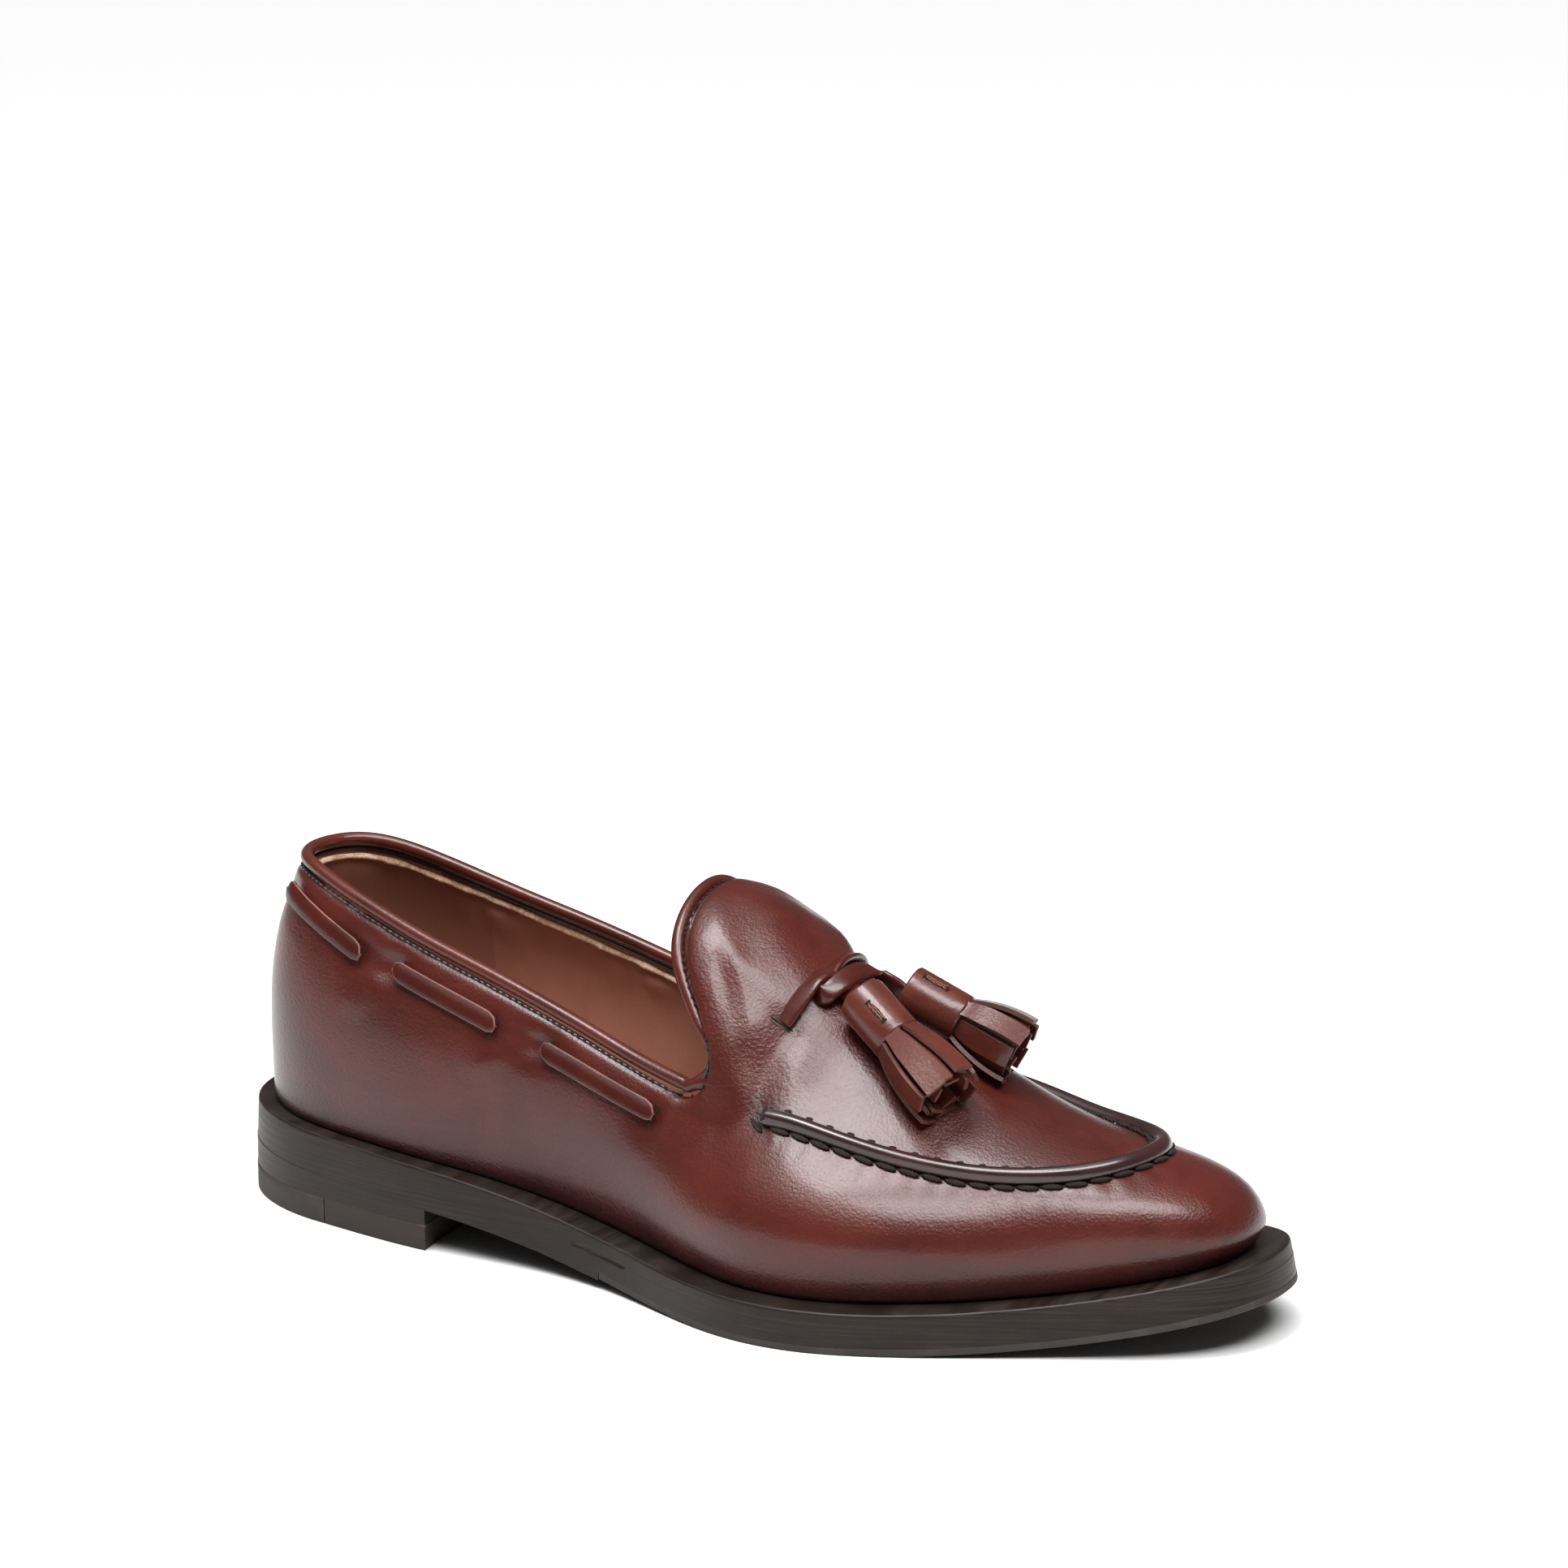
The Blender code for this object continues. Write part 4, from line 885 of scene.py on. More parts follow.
@dataclass
class Upper:
    """The calf upper with its lining, creases and burnish.

    A pair of numbers is the start and width of a fade, or the middle and width of a bell;
    axis_ends are the ends of the line inside the shoe that its faces look away from.
    """

    finishes: Finishes
    levels: int = 2
    rim_crease: float = 0.55
    axis_share: float = 0.985
    axis_ends: tuple[float, float] = (-0.105, 0.100)
    axis_side: float = 0.003
    axis_height: float = 0.030
    slit_depth: float = 0.0012
    slit_reach: float = 0.0055
    facing: float = 0.0042
    calm_rim: tuple[float, float] = (0.003, 0.006)
    groove: float = 0.0008
    groove_place: tuple[float, float] = (0.0029, 0.0011)
    rim_rise: float = 0.0005
    rim_place: tuple[float, float] = (0.0024, -0.0008)
    pucker_start: float = 1.35
    pucker_reach: float = 0.0085
    pucker_power: float = 1.5
    pucker_side: float = 0.0015
    pucker_ends: float = 0.03
    flex_along: tuple[float, float] = (0.022, 0.030)
    flex_rise: tuple[float, float] = (0.040, 0.020)
    flex_start: float = 1.3
    flex_height: float = 0.080
    flex_reach: float = 0.020
    flex_least: float = 0.15
    seam: PlanPath = field(init=False)
    collar: PlanPath = field(init=False)
    skin: BVHTree = field(init=False)
    inner_skin: BVHTree = field(init=False)

    def __post_init__(self) -> None:
        """Find the lines of the seam and of the collar."""
        self.seam = PlanPath.of_node("apron_roll", (0.045, 0.005), -122.0, 126.0, 420)
        self.collar = PlanPath.of_node("collar_piping", (-0.060, 0.0035), -180.0, 180.0, 720)

    def build(self, slits: Sequence[np.ndarray]) -> bpy.types.Object:
        """Refine the wall, crease it and measure it for its material.

        Args:
            slits: points where the lace goes through the upper.

        Returns:
            The finished upper.
        """
        bm = merged("upper")
        creased(bm, 52.0, self.rim_crease)
        raw = finished("upper_shell_raw", bm, self.finishes.upper)
        subdivided(raw, self.levels)
        bpy.context.view_layer.update()
        graph = bpy.context.evaluated_depsgraph_get()
        mesh = bpy.data.meshes.new_from_object(raw.evaluated_get(graph))
        bpy.data.objects.remove(raw, do_unlink=True)
        mesh.name = "upper_shell"
        places = np.zeros(len(mesh.vertices) * 3)
        mesh.vertices.foreach_get("co", places)
        places = places.reshape(-1, 3)
        normals = np.array([vert.normal for vert in mesh.vertices])
        outer = self.faces_out(places, normals)
        places = self.pressed(places, normals, outer, slits)
        mesh.vertices.foreach_set("co", places.ravel())
        mesh.update()
        self.dress(mesh, places, slits)
        piece = placed("upper_shell", mesh)
        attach(piece, BODY)
        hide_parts("upper")
        faces = [tuple(polygon.vertices) for polygon in mesh.polygons]
        sides = self.faces_out(np.array([polygon.center for polygon in mesh.polygons]),
                               np.array([polygon.normal for polygon in mesh.polygons]))
        corners = places.tolist()
        self.skin = BVHTree.FromPolygons(corners, [f for f, out in zip(faces, sides) if out])
        self.inner_skin = BVHTree.FromPolygons(corners, [f for f, out in zip(faces, sides) if not out])
        return piece

    def faces_out(self, places: np.ndarray, normals: np.ndarray) -> np.ndarray:
        """Tell the outer face from the lining by which way each point looks."""
        middle = np.stack((np.clip(places[:, 0] * self.axis_share, *self.axis_ends),
                           np.full(len(places), self.axis_side),
                           np.full(len(places), self.axis_height)), axis=1)
        return np.einsum("ij,ij->i", normals, places - middle) > 0.0

    def pressed(self, places: np.ndarray, normals: np.ndarray, outer: np.ndarray,
                slits: Sequence[np.ndarray]) -> np.ndarray:
        """Lay the folds and the pulled-in slits on the wall, lining and all."""
        lift = np.zeros(len(places))
        for fold in FOLDS:
            first, second, third, sign, limit = fold.seen.value
            drawn = places[:, [first, second]]
            start = np.array(fold.start)
            run = np.array(fold.end) - start
            share = ((drawn - start) @ run) / (run @ run)
            near = start + np.clip(share, 0.0, 1.0)[:, None] * run
            off = np.linalg.norm(drawn - near, axis=1)
            held = places[:, third] * sign > limit
            lift += fold.height * bell(off, 0.0, fold.width) * held
        for slit in slits:
            off = np.linalg.norm(places - slit, axis=1)
            lift -= self.slit_depth * bell(off, 0.0, self.slit_reach)
        near, gaps = self.collar.nearest(places)
        lift *= fade(gaps, *self.calm_rim)
        lift -= self.groove * bell(gaps, *self.groove_place) * outer
        rise = self.rim_rise * fade(gaps, *self.rim_place)
        moved = places + normals * (lift * np.where(outer, 1.0, -1.0))[:, None]
        return moved + unit(near - places) * rise[:, None]

    def dress(self, mesh: bpy.types.Mesh, places: np.ndarray, slits: Sequence[np.ndarray]) -> None:
        """Write the measures that the calf reads, and give the inside its lining."""
        seam_gap, seam_along, seam_side = self.seam.measure(places)
        pucker = np.clip(self.pucker_start - seam_gap / self.pucker_reach, 0.0, 1.0)
        pucker = pucker ** self.pucker_power * fade(seam_side, 0.0, self.pucker_side)
        pucker *= (fade(seam_along, 0.0, self.pucker_ends)
                   * fade(seam_along, 1.0, -self.pucker_ends))
        edge_gap = self.collar.nearest(places)[1]
        welt = point_tree(corners_of("welt"))
        foot = np.array([place[2] - welt.find(Vector((place[0], place[1], 0.0)))[0].z
                         for place in places])
        slit_gap = np.min([np.linalg.norm(places - slit, axis=1) for slit in slits], axis=0)
        flex = bell(places[:, 0], *self.flex_along)
        flex *= fade(places[:, 2], *self.flex_rise)
        above = np.clip(places[:, 2] - self.flex_height, 0.0, 1.0)
        flex *= np.clip(self.flex_start - above / self.flex_reach, self.flex_least, 1.0)
        for attribute, values in ((Attribute.EDGE, edge_gap), (Attribute.FOOT, foot),
                                  (Attribute.SEAM, seam_gap), (Attribute.SEAM_ALONG, seam_along),
                                  (Attribute.PUCKER, pucker), (Attribute.SLIT, slit_gap),
                                  (Attribute.FLEX, flex)):
            layer = mesh.attributes.new(attribute.value, "FLOAT", "POINT")
            layer.data.foreach_set("value", values.astype(np.float32))
        mesh.materials.clear()
        mesh.materials.append(self.finishes.upper)
        mesh.materials.append(self.finishes.lining)
        centres = np.array([polygon.center for polygon in mesh.polygons])
        looks = np.array([polygon.normal for polygon in mesh.polygons])
        inside = ~self.faces_out(centres, looks)
        inside &= self.collar.nearest(centres)[1] > self.facing
        mesh.polygons.foreach_set("material_index", inside.astype(np.int32))
        mesh.polygons.foreach_set("use_smooth", np.ones(len(centres), dtype=bool))

    def on_skin(self, place: np.ndarray) -> tuple[np.ndarray, np.ndarray]:
        """Nearest point of the upper's outer face and the outward normal there."""
        return laid_on(self.skin, place)

    def on_lining(self, place: np.ndarray) -> tuple[np.ndarray, np.ndarray]:
        """Nearest point of the lining's face and the normal there, towards the foot."""
        return laid_on(self.inner_skin, place)


@dataclass
class ApronSeam:
    """The raised apron roll and the hand stitches that hold it."""

    finishes: Finishes
    upper: Upper
    count: int = 37
    outer_offset: float = 0.0030
    inner_offset: float = 0.0029
    chunky: Triple = (0.0061, 0.0016, 0.0014)
    small: Triple = (0.0022, 0.0009, 0.0004)
    lean: float = 0.11
    lift: float = 0.0005
    cross: Triple = (0.0046, 0.0014, 0.0012)
    cross_along: float = 0.0042
    cross_height: float = 0.0019
    far_side: float = 0.004
    dip: float = 0.001

    def build(self) -> None:
        """Refine the roll and stitch it."""
        roll = finished("apron_roll_bead", merged("apron_roll"), self.finishes.roll)
        subdivided(roll, 2)
        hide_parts("apron_roll")
        outer = []
        inner_far = []
        inner_near = []
        for i in range(self.count):
            length = (i + 0.5) * self.upper.seam.length / self.count
            outer.append(self.place(length, self.outer_offset, self.lean))
            place = self.place(length, -self.inner_offset, -self.lean)
            if place[0][1] > self.far_side:
                inner_far.append(place)
            else:
                inner_near.append(place)
        point, run, _ = self.upper.seam.at(self.cross_along)
        _, normal = self.upper.on_skin(point)
        across = unit(np.cross(run, normal))
        over = [(point + normal * self.cross_height, across, normal)]
        for name, row, size in (("apron_stitch_over", over, self.cross),
                                ("apron_stitches_outer", outer, self.chunky),
                                ("apron_stitches_inner", inner_far, self.chunky),
                                ("apron_stitches_small", inner_near, self.small)):
            stitches(name, row, size, self.finishes.thread)

    def place(self, length: float, offset: float, lean: float) -> tuple[np.ndarray, ...]:
        """Middle, direction and normal of a stitch beside the roll."""
        point, run, out = self.upper.seam.at(length)
        _, normal = self.upper.on_skin(point + out * offset - UP * self.dip)
        side = unit(np.cross(run, normal))
        spot, normal = self.upper.on_skin(self.upper.on_skin(point)[0] + side * offset)
        return spot + normal * self.lift, unit(run + side * lean), normal


@dataclass
class Collar:
    """Piping along the topline, its stitches and the lining's raw edge below it.

    throat_along and throat_height are the starts and widths of the fades that bring the
    piping outwards into the throat.
    """

    finishes: Finishes
    upper: Upper
    pitch: float = 0.0021
    stitch: Triple = (0.0012, 0.0007, 0.0006)
    offset: float = 0.0029
    look_out: float = 0.0008
    bead_offset: float = 0.0019
    bead_radius: float = 0.00032
    bead_front: float = 0.0060
    bead_sink: float = 0.0010
    bead_steps: int = 400
    bead_sides: int = 6
    stitch_lift: float = 0.0003
    throat_lift: float = 0.0012
    throat_along: tuple[float, float] = (-0.006, 0.006)
    throat_height: tuple[float, float] = (0.076, -0.010)
    raw_width: float = 0.0021
    raw_thickness: float = 0.0012
    raw_drop: float = 0.0046
    raw_rise: float = 0.0016
    raw_wander: float = 0.0011
    raw_uneven: float = 0.35
    raw_lumps: float = 0.3
    raw_front: float = -0.0090
    raw_jump: float = 0.0050
    raw_steps: int = 360
    raw_seed: int = 7
    raw_shape: Sequence[tuple[float, float]] = (
        (-1.0, -0.4), (-0.7, 0.6), (0.0, 1.0), (0.7, 0.7), (1.0, -0.4))

    def build(self) -> None:
        """Refine the piping, then stitch it and edge the lining."""
        bm = merged("collar_piping")
        for vert in bm.verts:
            ahead = fade(vert.co.x, *self.throat_along)
            low = fade(vert.co.z, *self.throat_height)
            _, normal = self.upper.on_skin(vert.co)
            vert.co += Vector(normal) * float(self.throat_lift * ahead * low)
        piping = finished("collar_bead", bm, self.finishes.piping)
        subdivided(piping, 2)
        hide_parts("collar_piping")
        path = self.upper.collar
        count = int(path.length / self.pitch)
        row = [self.beside((i + 0.5) * path.length / count, self.offset) for i in range(count)]
        spots = self.evened([place[0] for place in row], 2)
        row = [(self.upper.on_skin(spot)[0] + normal * self.stitch_lift, run, normal)
               for spot, (_, run, normal) in zip(spots, row)]
        stitches("collar_stitches", row, self.stitch, self.finishes.thread)
        self.fold_edge(path)
        self.edge_lining(path)

    def beside(self, length: float, offset: float) -> tuple[np.ndarray, np.ndarray, np.ndarray]:
        """A point of the outer face beside the piping, with its direction and normal."""
        point, run, out = self.upper.collar.at(length)
        _, normal = self.upper.on_skin(point)
        away = unit(np.cross(run, normal))
        if away @ (out - 0.6 * UP) < 0.0:
            away = -away
        spot, normal = self.upper.on_skin(point + away * offset)
        _, normal = self.upper.on_skin(spot + away * self.look_out)
        return spot, run, normal

    @staticmethod
    def evened(values: Sequence[np.ndarray], reach: int = 4) -> np.ndarray:
        """Average each point of a closed run with its neighbours."""
        held = np.array(values)
        return sum(np.roll(held, k, axis=0) for k in range(-reach, reach + 1)) / (2 * reach + 1)

    def fold_edge(self, path: PlanPath) -> None:
        """Lay the thin folded edge of the calf that shows under the piping, its grey colour a painted
        highlight of the light that the edge catches.
        """
        spots = []
        runs = []
        normals = []
        for length in np.linspace(0.0, path.length, self.bead_steps, endpoint=False):
            spot, run, normal = self.beside(float(length), self.bead_offset)
            if path.at(float(length))[0][0] > self.bead_front:
                spot = spot - normal * self.bead_sink
            spots.append(spot)
            runs.append(run)
            normals.append(normal)
        sections = []
        for spot, run, normal in zip(self.evened(spots), runs, unit(self.evened(normals))):
            side = unit(np.cross(run, normal))
            turns = [2.0 * math.pi * i / self.bead_sides for i in range(self.bead_sides)]
            sections.append([spot + (side * math.cos(turn) + normal * math.sin(turn))
                             * self.bead_radius for turn in turns])
        finished("collar_fold_edge", swept(np.array(sections), closed=True), self.finishes.fold)

    def raw_run(self, path: PlanPath, steps: range, count: int, noise: np.ndarray,
                wide: np.ndarray) -> list[list[np.ndarray]]:
        """Sections of the raw edge from the heel forwards on one side.

        Args:
            path: the collar's line.
            steps: the steps of the line to go through, from the heel.
            count: number of steps in the whole line.
            noise: how much the strip's width and thickness vary at each step.
            wide: how far it wanders up or down at each step.

        Returns:
            The sections, up to the place where the throat begins.
        """
        sections = []
        for i in steps:
            point, run, out = path.at(path.length * i / count)
            _, normal = self.upper.on_lining(point - UP * self.raw_drop)
            down = unit(np.cross(run, normal))
            if down @ (-UP - out * 0.3) < 0.0:
                down = -down
            start, _ = self.upper.on_lining(point)
            spot, normal = self.upper.on_lining(
                start + down * (self.raw_drop - self.raw_rise + self.raw_wander * wide[i]))
            jump = sections and np.linalg.norm(spot - sections[-1][2]) > self.raw_jump
            if point[0] > self.raw_front or jump:
                break
            half = self.raw_width / 2.0 * (1.0 + self.raw_uneven * noise[i])
            thick = 1.0 + self.raw_lumps * noise[i]
            sections.append([spot + down * (across * half)
                             + normal * (height * self.raw_thickness * thick)
                             for across, height in self.raw_shape])
        return sections

    def edge_lining(self, path: PlanPath) -> None:
        """Lay the pale cut edge of the lining inside the collar, its paleness partly painted light."""
        rng = np.random.default_rng(self.raw_seed)
        count = self.raw_steps
        noise = np.convolve(rng.normal(0.0, 1.0, count + 4), np.ones(5) / 5.0, "valid")
        wide = np.convolve(rng.normal(0.0, 1.0, count + 24), np.ones(25) / 25.0, "valid")
        half = count // 2
        lateral = self.raw_run(path, range(half), count, noise, wide)
        medial = self.raw_run(path, range(count - 1, half, -1), count, noise, wide)
        sections = medial[::-1] + lateral
        piece = finished("lining_raw_edge", swept(np.array(sections)), self.finishes.raw_edge)
        subdivided(piece, 1)


@dataclass(frozen=True)
class Layer:
    """One layer of the bottom: its node and finish, the rims it rounds and the sides it closes."""

    node: str
    finish: str
    top_rim: float = 0.0
    low_rim: float = 0.0
    grow_up: bool = True
    grow_down: bool = True


LAYERS = (
    Layer("welt", "sole", top_rim=0.0009, grow_up=False),
    Layer("outsole", "sole"),
    Layer("insole", "sock", top_rim=0.0006, grow_up=False, grow_down=False),
    Layer("forefoot_rubber", "rubber", low_rim=0.0005, grow_down=False),
    Layer("heel_stack", "heel"),
    Layer("heel_top_leather", "lift", low_rim=0.0004, grow_down=False),
    Layer("heel_top_rubber", "rubber", low_rim=0.0004, grow_down=False),
)


@dataclass
class Bottom:
    """Sole, welt, insole and heel, ground flush with one another."""

    finishes: Finishes
    half_gap: float = 0.00020
    level: float = 0.7

    def build(self) -> None:
        """Refine each layer and give it its finish."""
        for layer in LAYERS:
            bm = merged(layer.node)
            self.grow(bm, layer)
            for width, sign in ((layer.top_rim, 1.0), (layer.low_rim, -1.0)):
                if width:
                    self.round_rim(bm, width, sign)
            creased(bm, 40.0, 1.0)
            piece = finished(layer.node + "_dressed", bm, getattr(self.finishes, layer.finish),
                             sharp=40.0)
            subdivided(piece, 2)
            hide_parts(layer.node)

    def grow(self, bm: bmesh.types.BMesh, layer: Layer) -> None:
        """Move a layer's flat sides until they meet the next layer's."""
        bm.normal_update()
        for vert in bm.verts:
            looks = [face.normal.z for face in vert.link_faces]
            if layer.grow_up and max(looks) > self.level:
                vert.co.z += self.half_gap
            elif layer.grow_down and min(looks) < -self.level:
                vert.co.z -= self.half_gap

    def round_rim(self, bm: bmesh.types.BMesh, width: float, sign: float) -> None:
        """Round the edges between the flat top or underside and the sides."""
        edges = []
        for edge in bm.edges:
            looks = sorted(sign * face.normal.z for face in edge.link_faces)
            if len(looks) == 2 and looks[1] > self.level and looks[0] < 0.5:
                edges.append(edge)
        bmesh.ops.bevel(bm, geom=edges, offset=width, offset_type="OFFSET", segments=3,
                        profile=0.5, affect="EDGES", material=-1)


@dataclass
class LaceBars:
    """Bars of the lace round the collar, and the slits that they dive into."""

    finishes: Finishes
    edge: float = 0.00028
    slit: Triple = (0.0078, 0.0008, 0.0007)
    slit_inset: float = 0.0011
    slit_lift: float = 0.0001
    end_depth: float = 0.0008

    @staticmethod
    def nodes() -> list[str]:
        """Names of the bars' CAD nodes."""
        return ["lace_" + side.word + "_" + name
                for side in Side for name in ("back", "middle", "front")]

    def slits(self) -> list[np.ndarray]:
        """Points at both ends of every bar."""
        found = []
        for node in self.nodes():
            places = corners_of(node)
            for reach in (places[:, 0].min(), places[:, 0].max()):
                found.append(places[np.abs(places[:, 0] - reach) < self.end_depth].mean(axis=0))
        return found

    def build(self, upper: Upper) -> None:
        """Give the bars crisp pale rims, partly the cut edge's own colour and partly painted
        highlight, and mark their slits with painted shade.
        """
        marks = []
        for node in self.nodes():
            bm = merged(node)
            # The bevelled rims take the pale material: cut-edge colour with painted highlight.
            rounded(bm, 38.0, self.edge, material=1)
            piece = finished(node + "_thong", bm, self.finishes.lace, self.finishes.lace_rim_and_highlight,
                             sharp=60.0)
            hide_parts(node)
        ends = self.slits()
        for first, last in zip(ends[0::2], ends[1::2]):
            inward = unit(last - first) * self.slit_inset
            for place in (first + inward, last - inward):
                spot, normal = upper.on_skin(place)
                across = unit(np.cross(normal, last - first))
                marks.append((spot + normal * self.slit_lift, across, normal))
        # Dark marks at both ends of every bar: painted shade of the slits' openings.
        stitches("lace_slits", marks, self.slit, self.finishes.slit)


@dataclass
class Knot:
    """The two thongs over the instep and their knot."""

    finishes: Finishes
    upper: Upper
    width: float = 0.0060
    thickness: float = 0.0022
    core: Triple = (0.0305, 0.0015, 0.0790)
    slit: Triple = (0.0076, 0.0012, 0.0010)
    slit_back: float = 0.0003
    lip: Triple = (0.0072, 0.0007, 0.0006)
    lip_back: float = 0.0011
    steps: int = 96
    first_run: int = 8
    sides: int = 12
    squareness: float = 0.7
    lateral: Sequence[Triple] = (
        (0.0221, -0.0168, 0.0730),
        (0.0242, -0.0140, 0.0772),
        (0.0260, -0.0106, 0.0811),
        (0.0270, -0.0071, 0.0834),
        (0.0284, -0.0036, 0.0838),
        (0.0305, -0.0012, 0.0822),
        (0.0330, -0.0022, 0.0802),
        (0.0365, -0.0048, 0.0793),
        (0.0400, -0.0061, 0.0792),
        (0.0440, -0.0078, 0.0774),
        (0.0480, -0.0096, 0.0748),
    )
    medial: Sequence[Triple] = (
        (0.0225, 0.0225, 0.0742),
        (0.0245, 0.0195, 0.0790),
        (0.0266, 0.0140, 0.0830),
        (0.0274, 0.0078, 0.0848),
        (0.0275, 0.0020, 0.0845),
        (0.0276, -0.0030, 0.0822),
        (0.0278, -0.0076, 0.0800),
        (0.0300, -0.0088, 0.0800),
        (0.0322, -0.0050, 0.0822),
        (0.0336, 0.0010, 0.0834),
        (0.0345, 0.0062, 0.0830),
        (0.0362, 0.0092, 0.0812),
        (0.0398, 0.0088, 0.0796),
        (0.0450, 0.0068, 0.0784),
        (0.0500, 0.0066, 0.0765),
    )

    def build(self, tassels: dict[Side, list[bpy.types.Object]]) -> None:
        cuts = []
        lips = []
        for side, points in ((Side.LATERAL, self.lateral), (Side.MEDIAL, self.medial)):
            line = smoothed(points, self.steps)
            spot, normal = self.upper.on_skin(line[0])
            start = line[self.first_run] - line[0]
            across = unit(np.cross(normal, start))
            back = unit(np.cross(normal, across))
            back = back if back @ start < 0.0 else -back
            cuts.append((spot + back * self.slit_back, across, normal))
            lips.append((spot + back * self.lip_back, across, normal))
            piece = finished("thong_" + side.word, self.thong(line), self.finishes.lace)
            subdivided(piece, 1)
            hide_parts("lace_knot")
        # Dark marks where the thongs enter the upper: painted shade of the slits' openings; the lips
        # below them are the pale raw edge.
        stitches("knot_slits", cuts, self.slit, self.finishes.slit)
        stitches("knot_slit_lips", lips, self.lip, self.finishes.strip_edge)

    def thong(self, line: np.ndarray) -> bmesh.types.BMesh:
        """A flat rounded thong that follows a line, its flat facing away from the knot's middle."""
        middle = np.array(self.core)
        runs = unit(np.gradient(line, axis=0))
        sections = []
        for point, run in zip(line, runs):
            away = unit(point - middle)
            across = unit(np.cross(run, away))
            off = np.cross(across, run)
            section = []
            for i in range(self.sides):
                turn = 2.0 * math.pi * i / self.sides
                wide = self.squared(math.cos(turn)) * self.width / 2.0
                deep = self.squared(math.sin(turn)) * self.thickness / 2.0
                section.append(point + across * wide + off * deep)
            sections.append(section)
        return swept(np.array(sections))

    def squared(self, value: float) -> float:
        """A circle's sine or cosine brought nearer to that of a rounded rectangle."""
        return math.copysign(abs(value) ** self.squareness, value)


@dataclass
class Tassel:
    """A wrap with its bar stitch, and the fringe cut into strips.

    A layer of the fringe is its number of strips, its share of the wrap's radius, the turn
    of its first strip and the share by which its strips are shorter.
    """

    finishes: Finishes
    upper: Upper
    side: Side
    bar_toward: Triple
    bar_share: float
    bar_length: float = 0.0070
    layers: Sequence[tuple[int, float, float, float]] = (
        (7, 0.74, 0.15, 0.00), (7, 0.56, 0.62, 0.06), (5, 0.40, 0.35, 0.02))
    strip_thickness: float = 0.0011
    strip_columns: int = 12
    strip_fill: float = 0.96
    strip_tuck: float = 0.0030
    strip_uneven: float = 0.03
    strip_widening: float = 0.32
    strip_sway: float = 0.0009
    strip_twist: float = 0.0007
    strip_spread: float = 0.0005
    strip_reach: float = 0.985
    rest_gap: float = 0.0004
    flare: float = 0.0034
    flare_radius: float = 0.0050
    strand: Triple = (0.0021, 0.00055, 0.0006)
    strand_gap: float = 0.00034
    strand_lift: float = 0.0001
    strand_columns: int = 4
    strand_lean: float = 0.18
    bar_knot: Triple = (0.0019, 0.0006, 0.0007)
    bar_slot: tuple[float, float] = (0.0019, 0.0007)

    def axis(self) -> tuple[np.ndarray, np.ndarray, float, float]:
        """Start, direction, length and radius of the wrap, from its CAD node."""
        places = corners_of("tassel_sleeve_" + self.side.word)
        middle = places.mean(axis=0)
        _, _, axes = np.linalg.svd(np.unique(places.round(6), axis=0) - middle)
        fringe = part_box("tassel_fringe_" + self.side.word)
        toe = (np.array(fringe[0]) + np.array(fringe[1])) / 2.0 - middle
        run = max(axes, key=lambda axis: abs(axis @ unit(toe)))
        run = run if run @ toe > 0.0 else -run
        along = (places - middle) @ run
        radius = np.linalg.norm((places - middle) - along[:, None] * run, axis=1).max()
        return middle + run * along.min(), run, float(np.ptp(along)), float(radius)

    def build(self) -> list[bpy.types.Object]:
        """Dress the wrap and build the fringe.

        Returns:
            The tassel's pieces.
        """
        start, run, length, radius = self.axis()
        _, normal = self.upper.on_skin(start + run * length)
        across = unit(np.cross(run, normal))
        off = np.cross(across, run)
        bm = merged("tassel_sleeve_" + self.side.word)
        creased(bm, 30.0, 0.92)
        wrap = finished("tassel_wrap_" + self.side.word, bm, self.finishes.tassel)
        subdivided(wrap, 2)
        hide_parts("tassel_sleeve_" + self.side.word)
        fringe = self.fringe(start + run * length, run, across, off, radius)
        bars = self.bar(start, run, length, radius)
        return [wrap, fringe, *bars]

    def bar(self, start: np.ndarray, run: np.ndarray, length: float,
            radius: float) -> list[bpy.types.Object]:
        """The bar stitch that closes the wrap: two rows of strands, knots at both ends, and a dark
        patch under the strands that paints the shade of the slot.
        """
        toward = np.array(self.bar_toward)
        away = unit(toward - (toward @ run) * run)
        side = np.cross(run, away)
        middle = start + run * length * self.bar_share + away * (radius + self.strand_lift)
        strands = []
        knots = []
        for k in range(self.strand_columns):
            along = (k - 1.5) * self.bar_length / 4.6
            for sign in (-1.0, 1.0):
                place = (middle + run * along + side * (sign * self.strand_gap)
                         + away * self.strand_lift)
                strands.append((place, unit(run + side * sign * self.strand_lean), away))
        for sign in (-1.0, 1.0):
            end = middle + run * (sign * self.bar_length / 2.0)
            knots.append((end, side, away))
            knots.append((end - run * (sign * 0.0005), unit(side + run * 0.5), away))
        # Painted shade: a dark sunk patch under the strands, standing for the shadowed slot between
        # them.
        dark = [(middle - away * 0.00020, run, away)]
        name = "tassel_bar_" + self.side.word
        return [stitches(name + "_strands", strands, self.strand, self.finishes.tan_thread),
                stitches(name + "_knots", knots, self.bar_knot, self.finishes.thread),
                stitches(name + "_slot", dark, (self.bar_length, *self.bar_slot),
                         self.finishes.slit)]

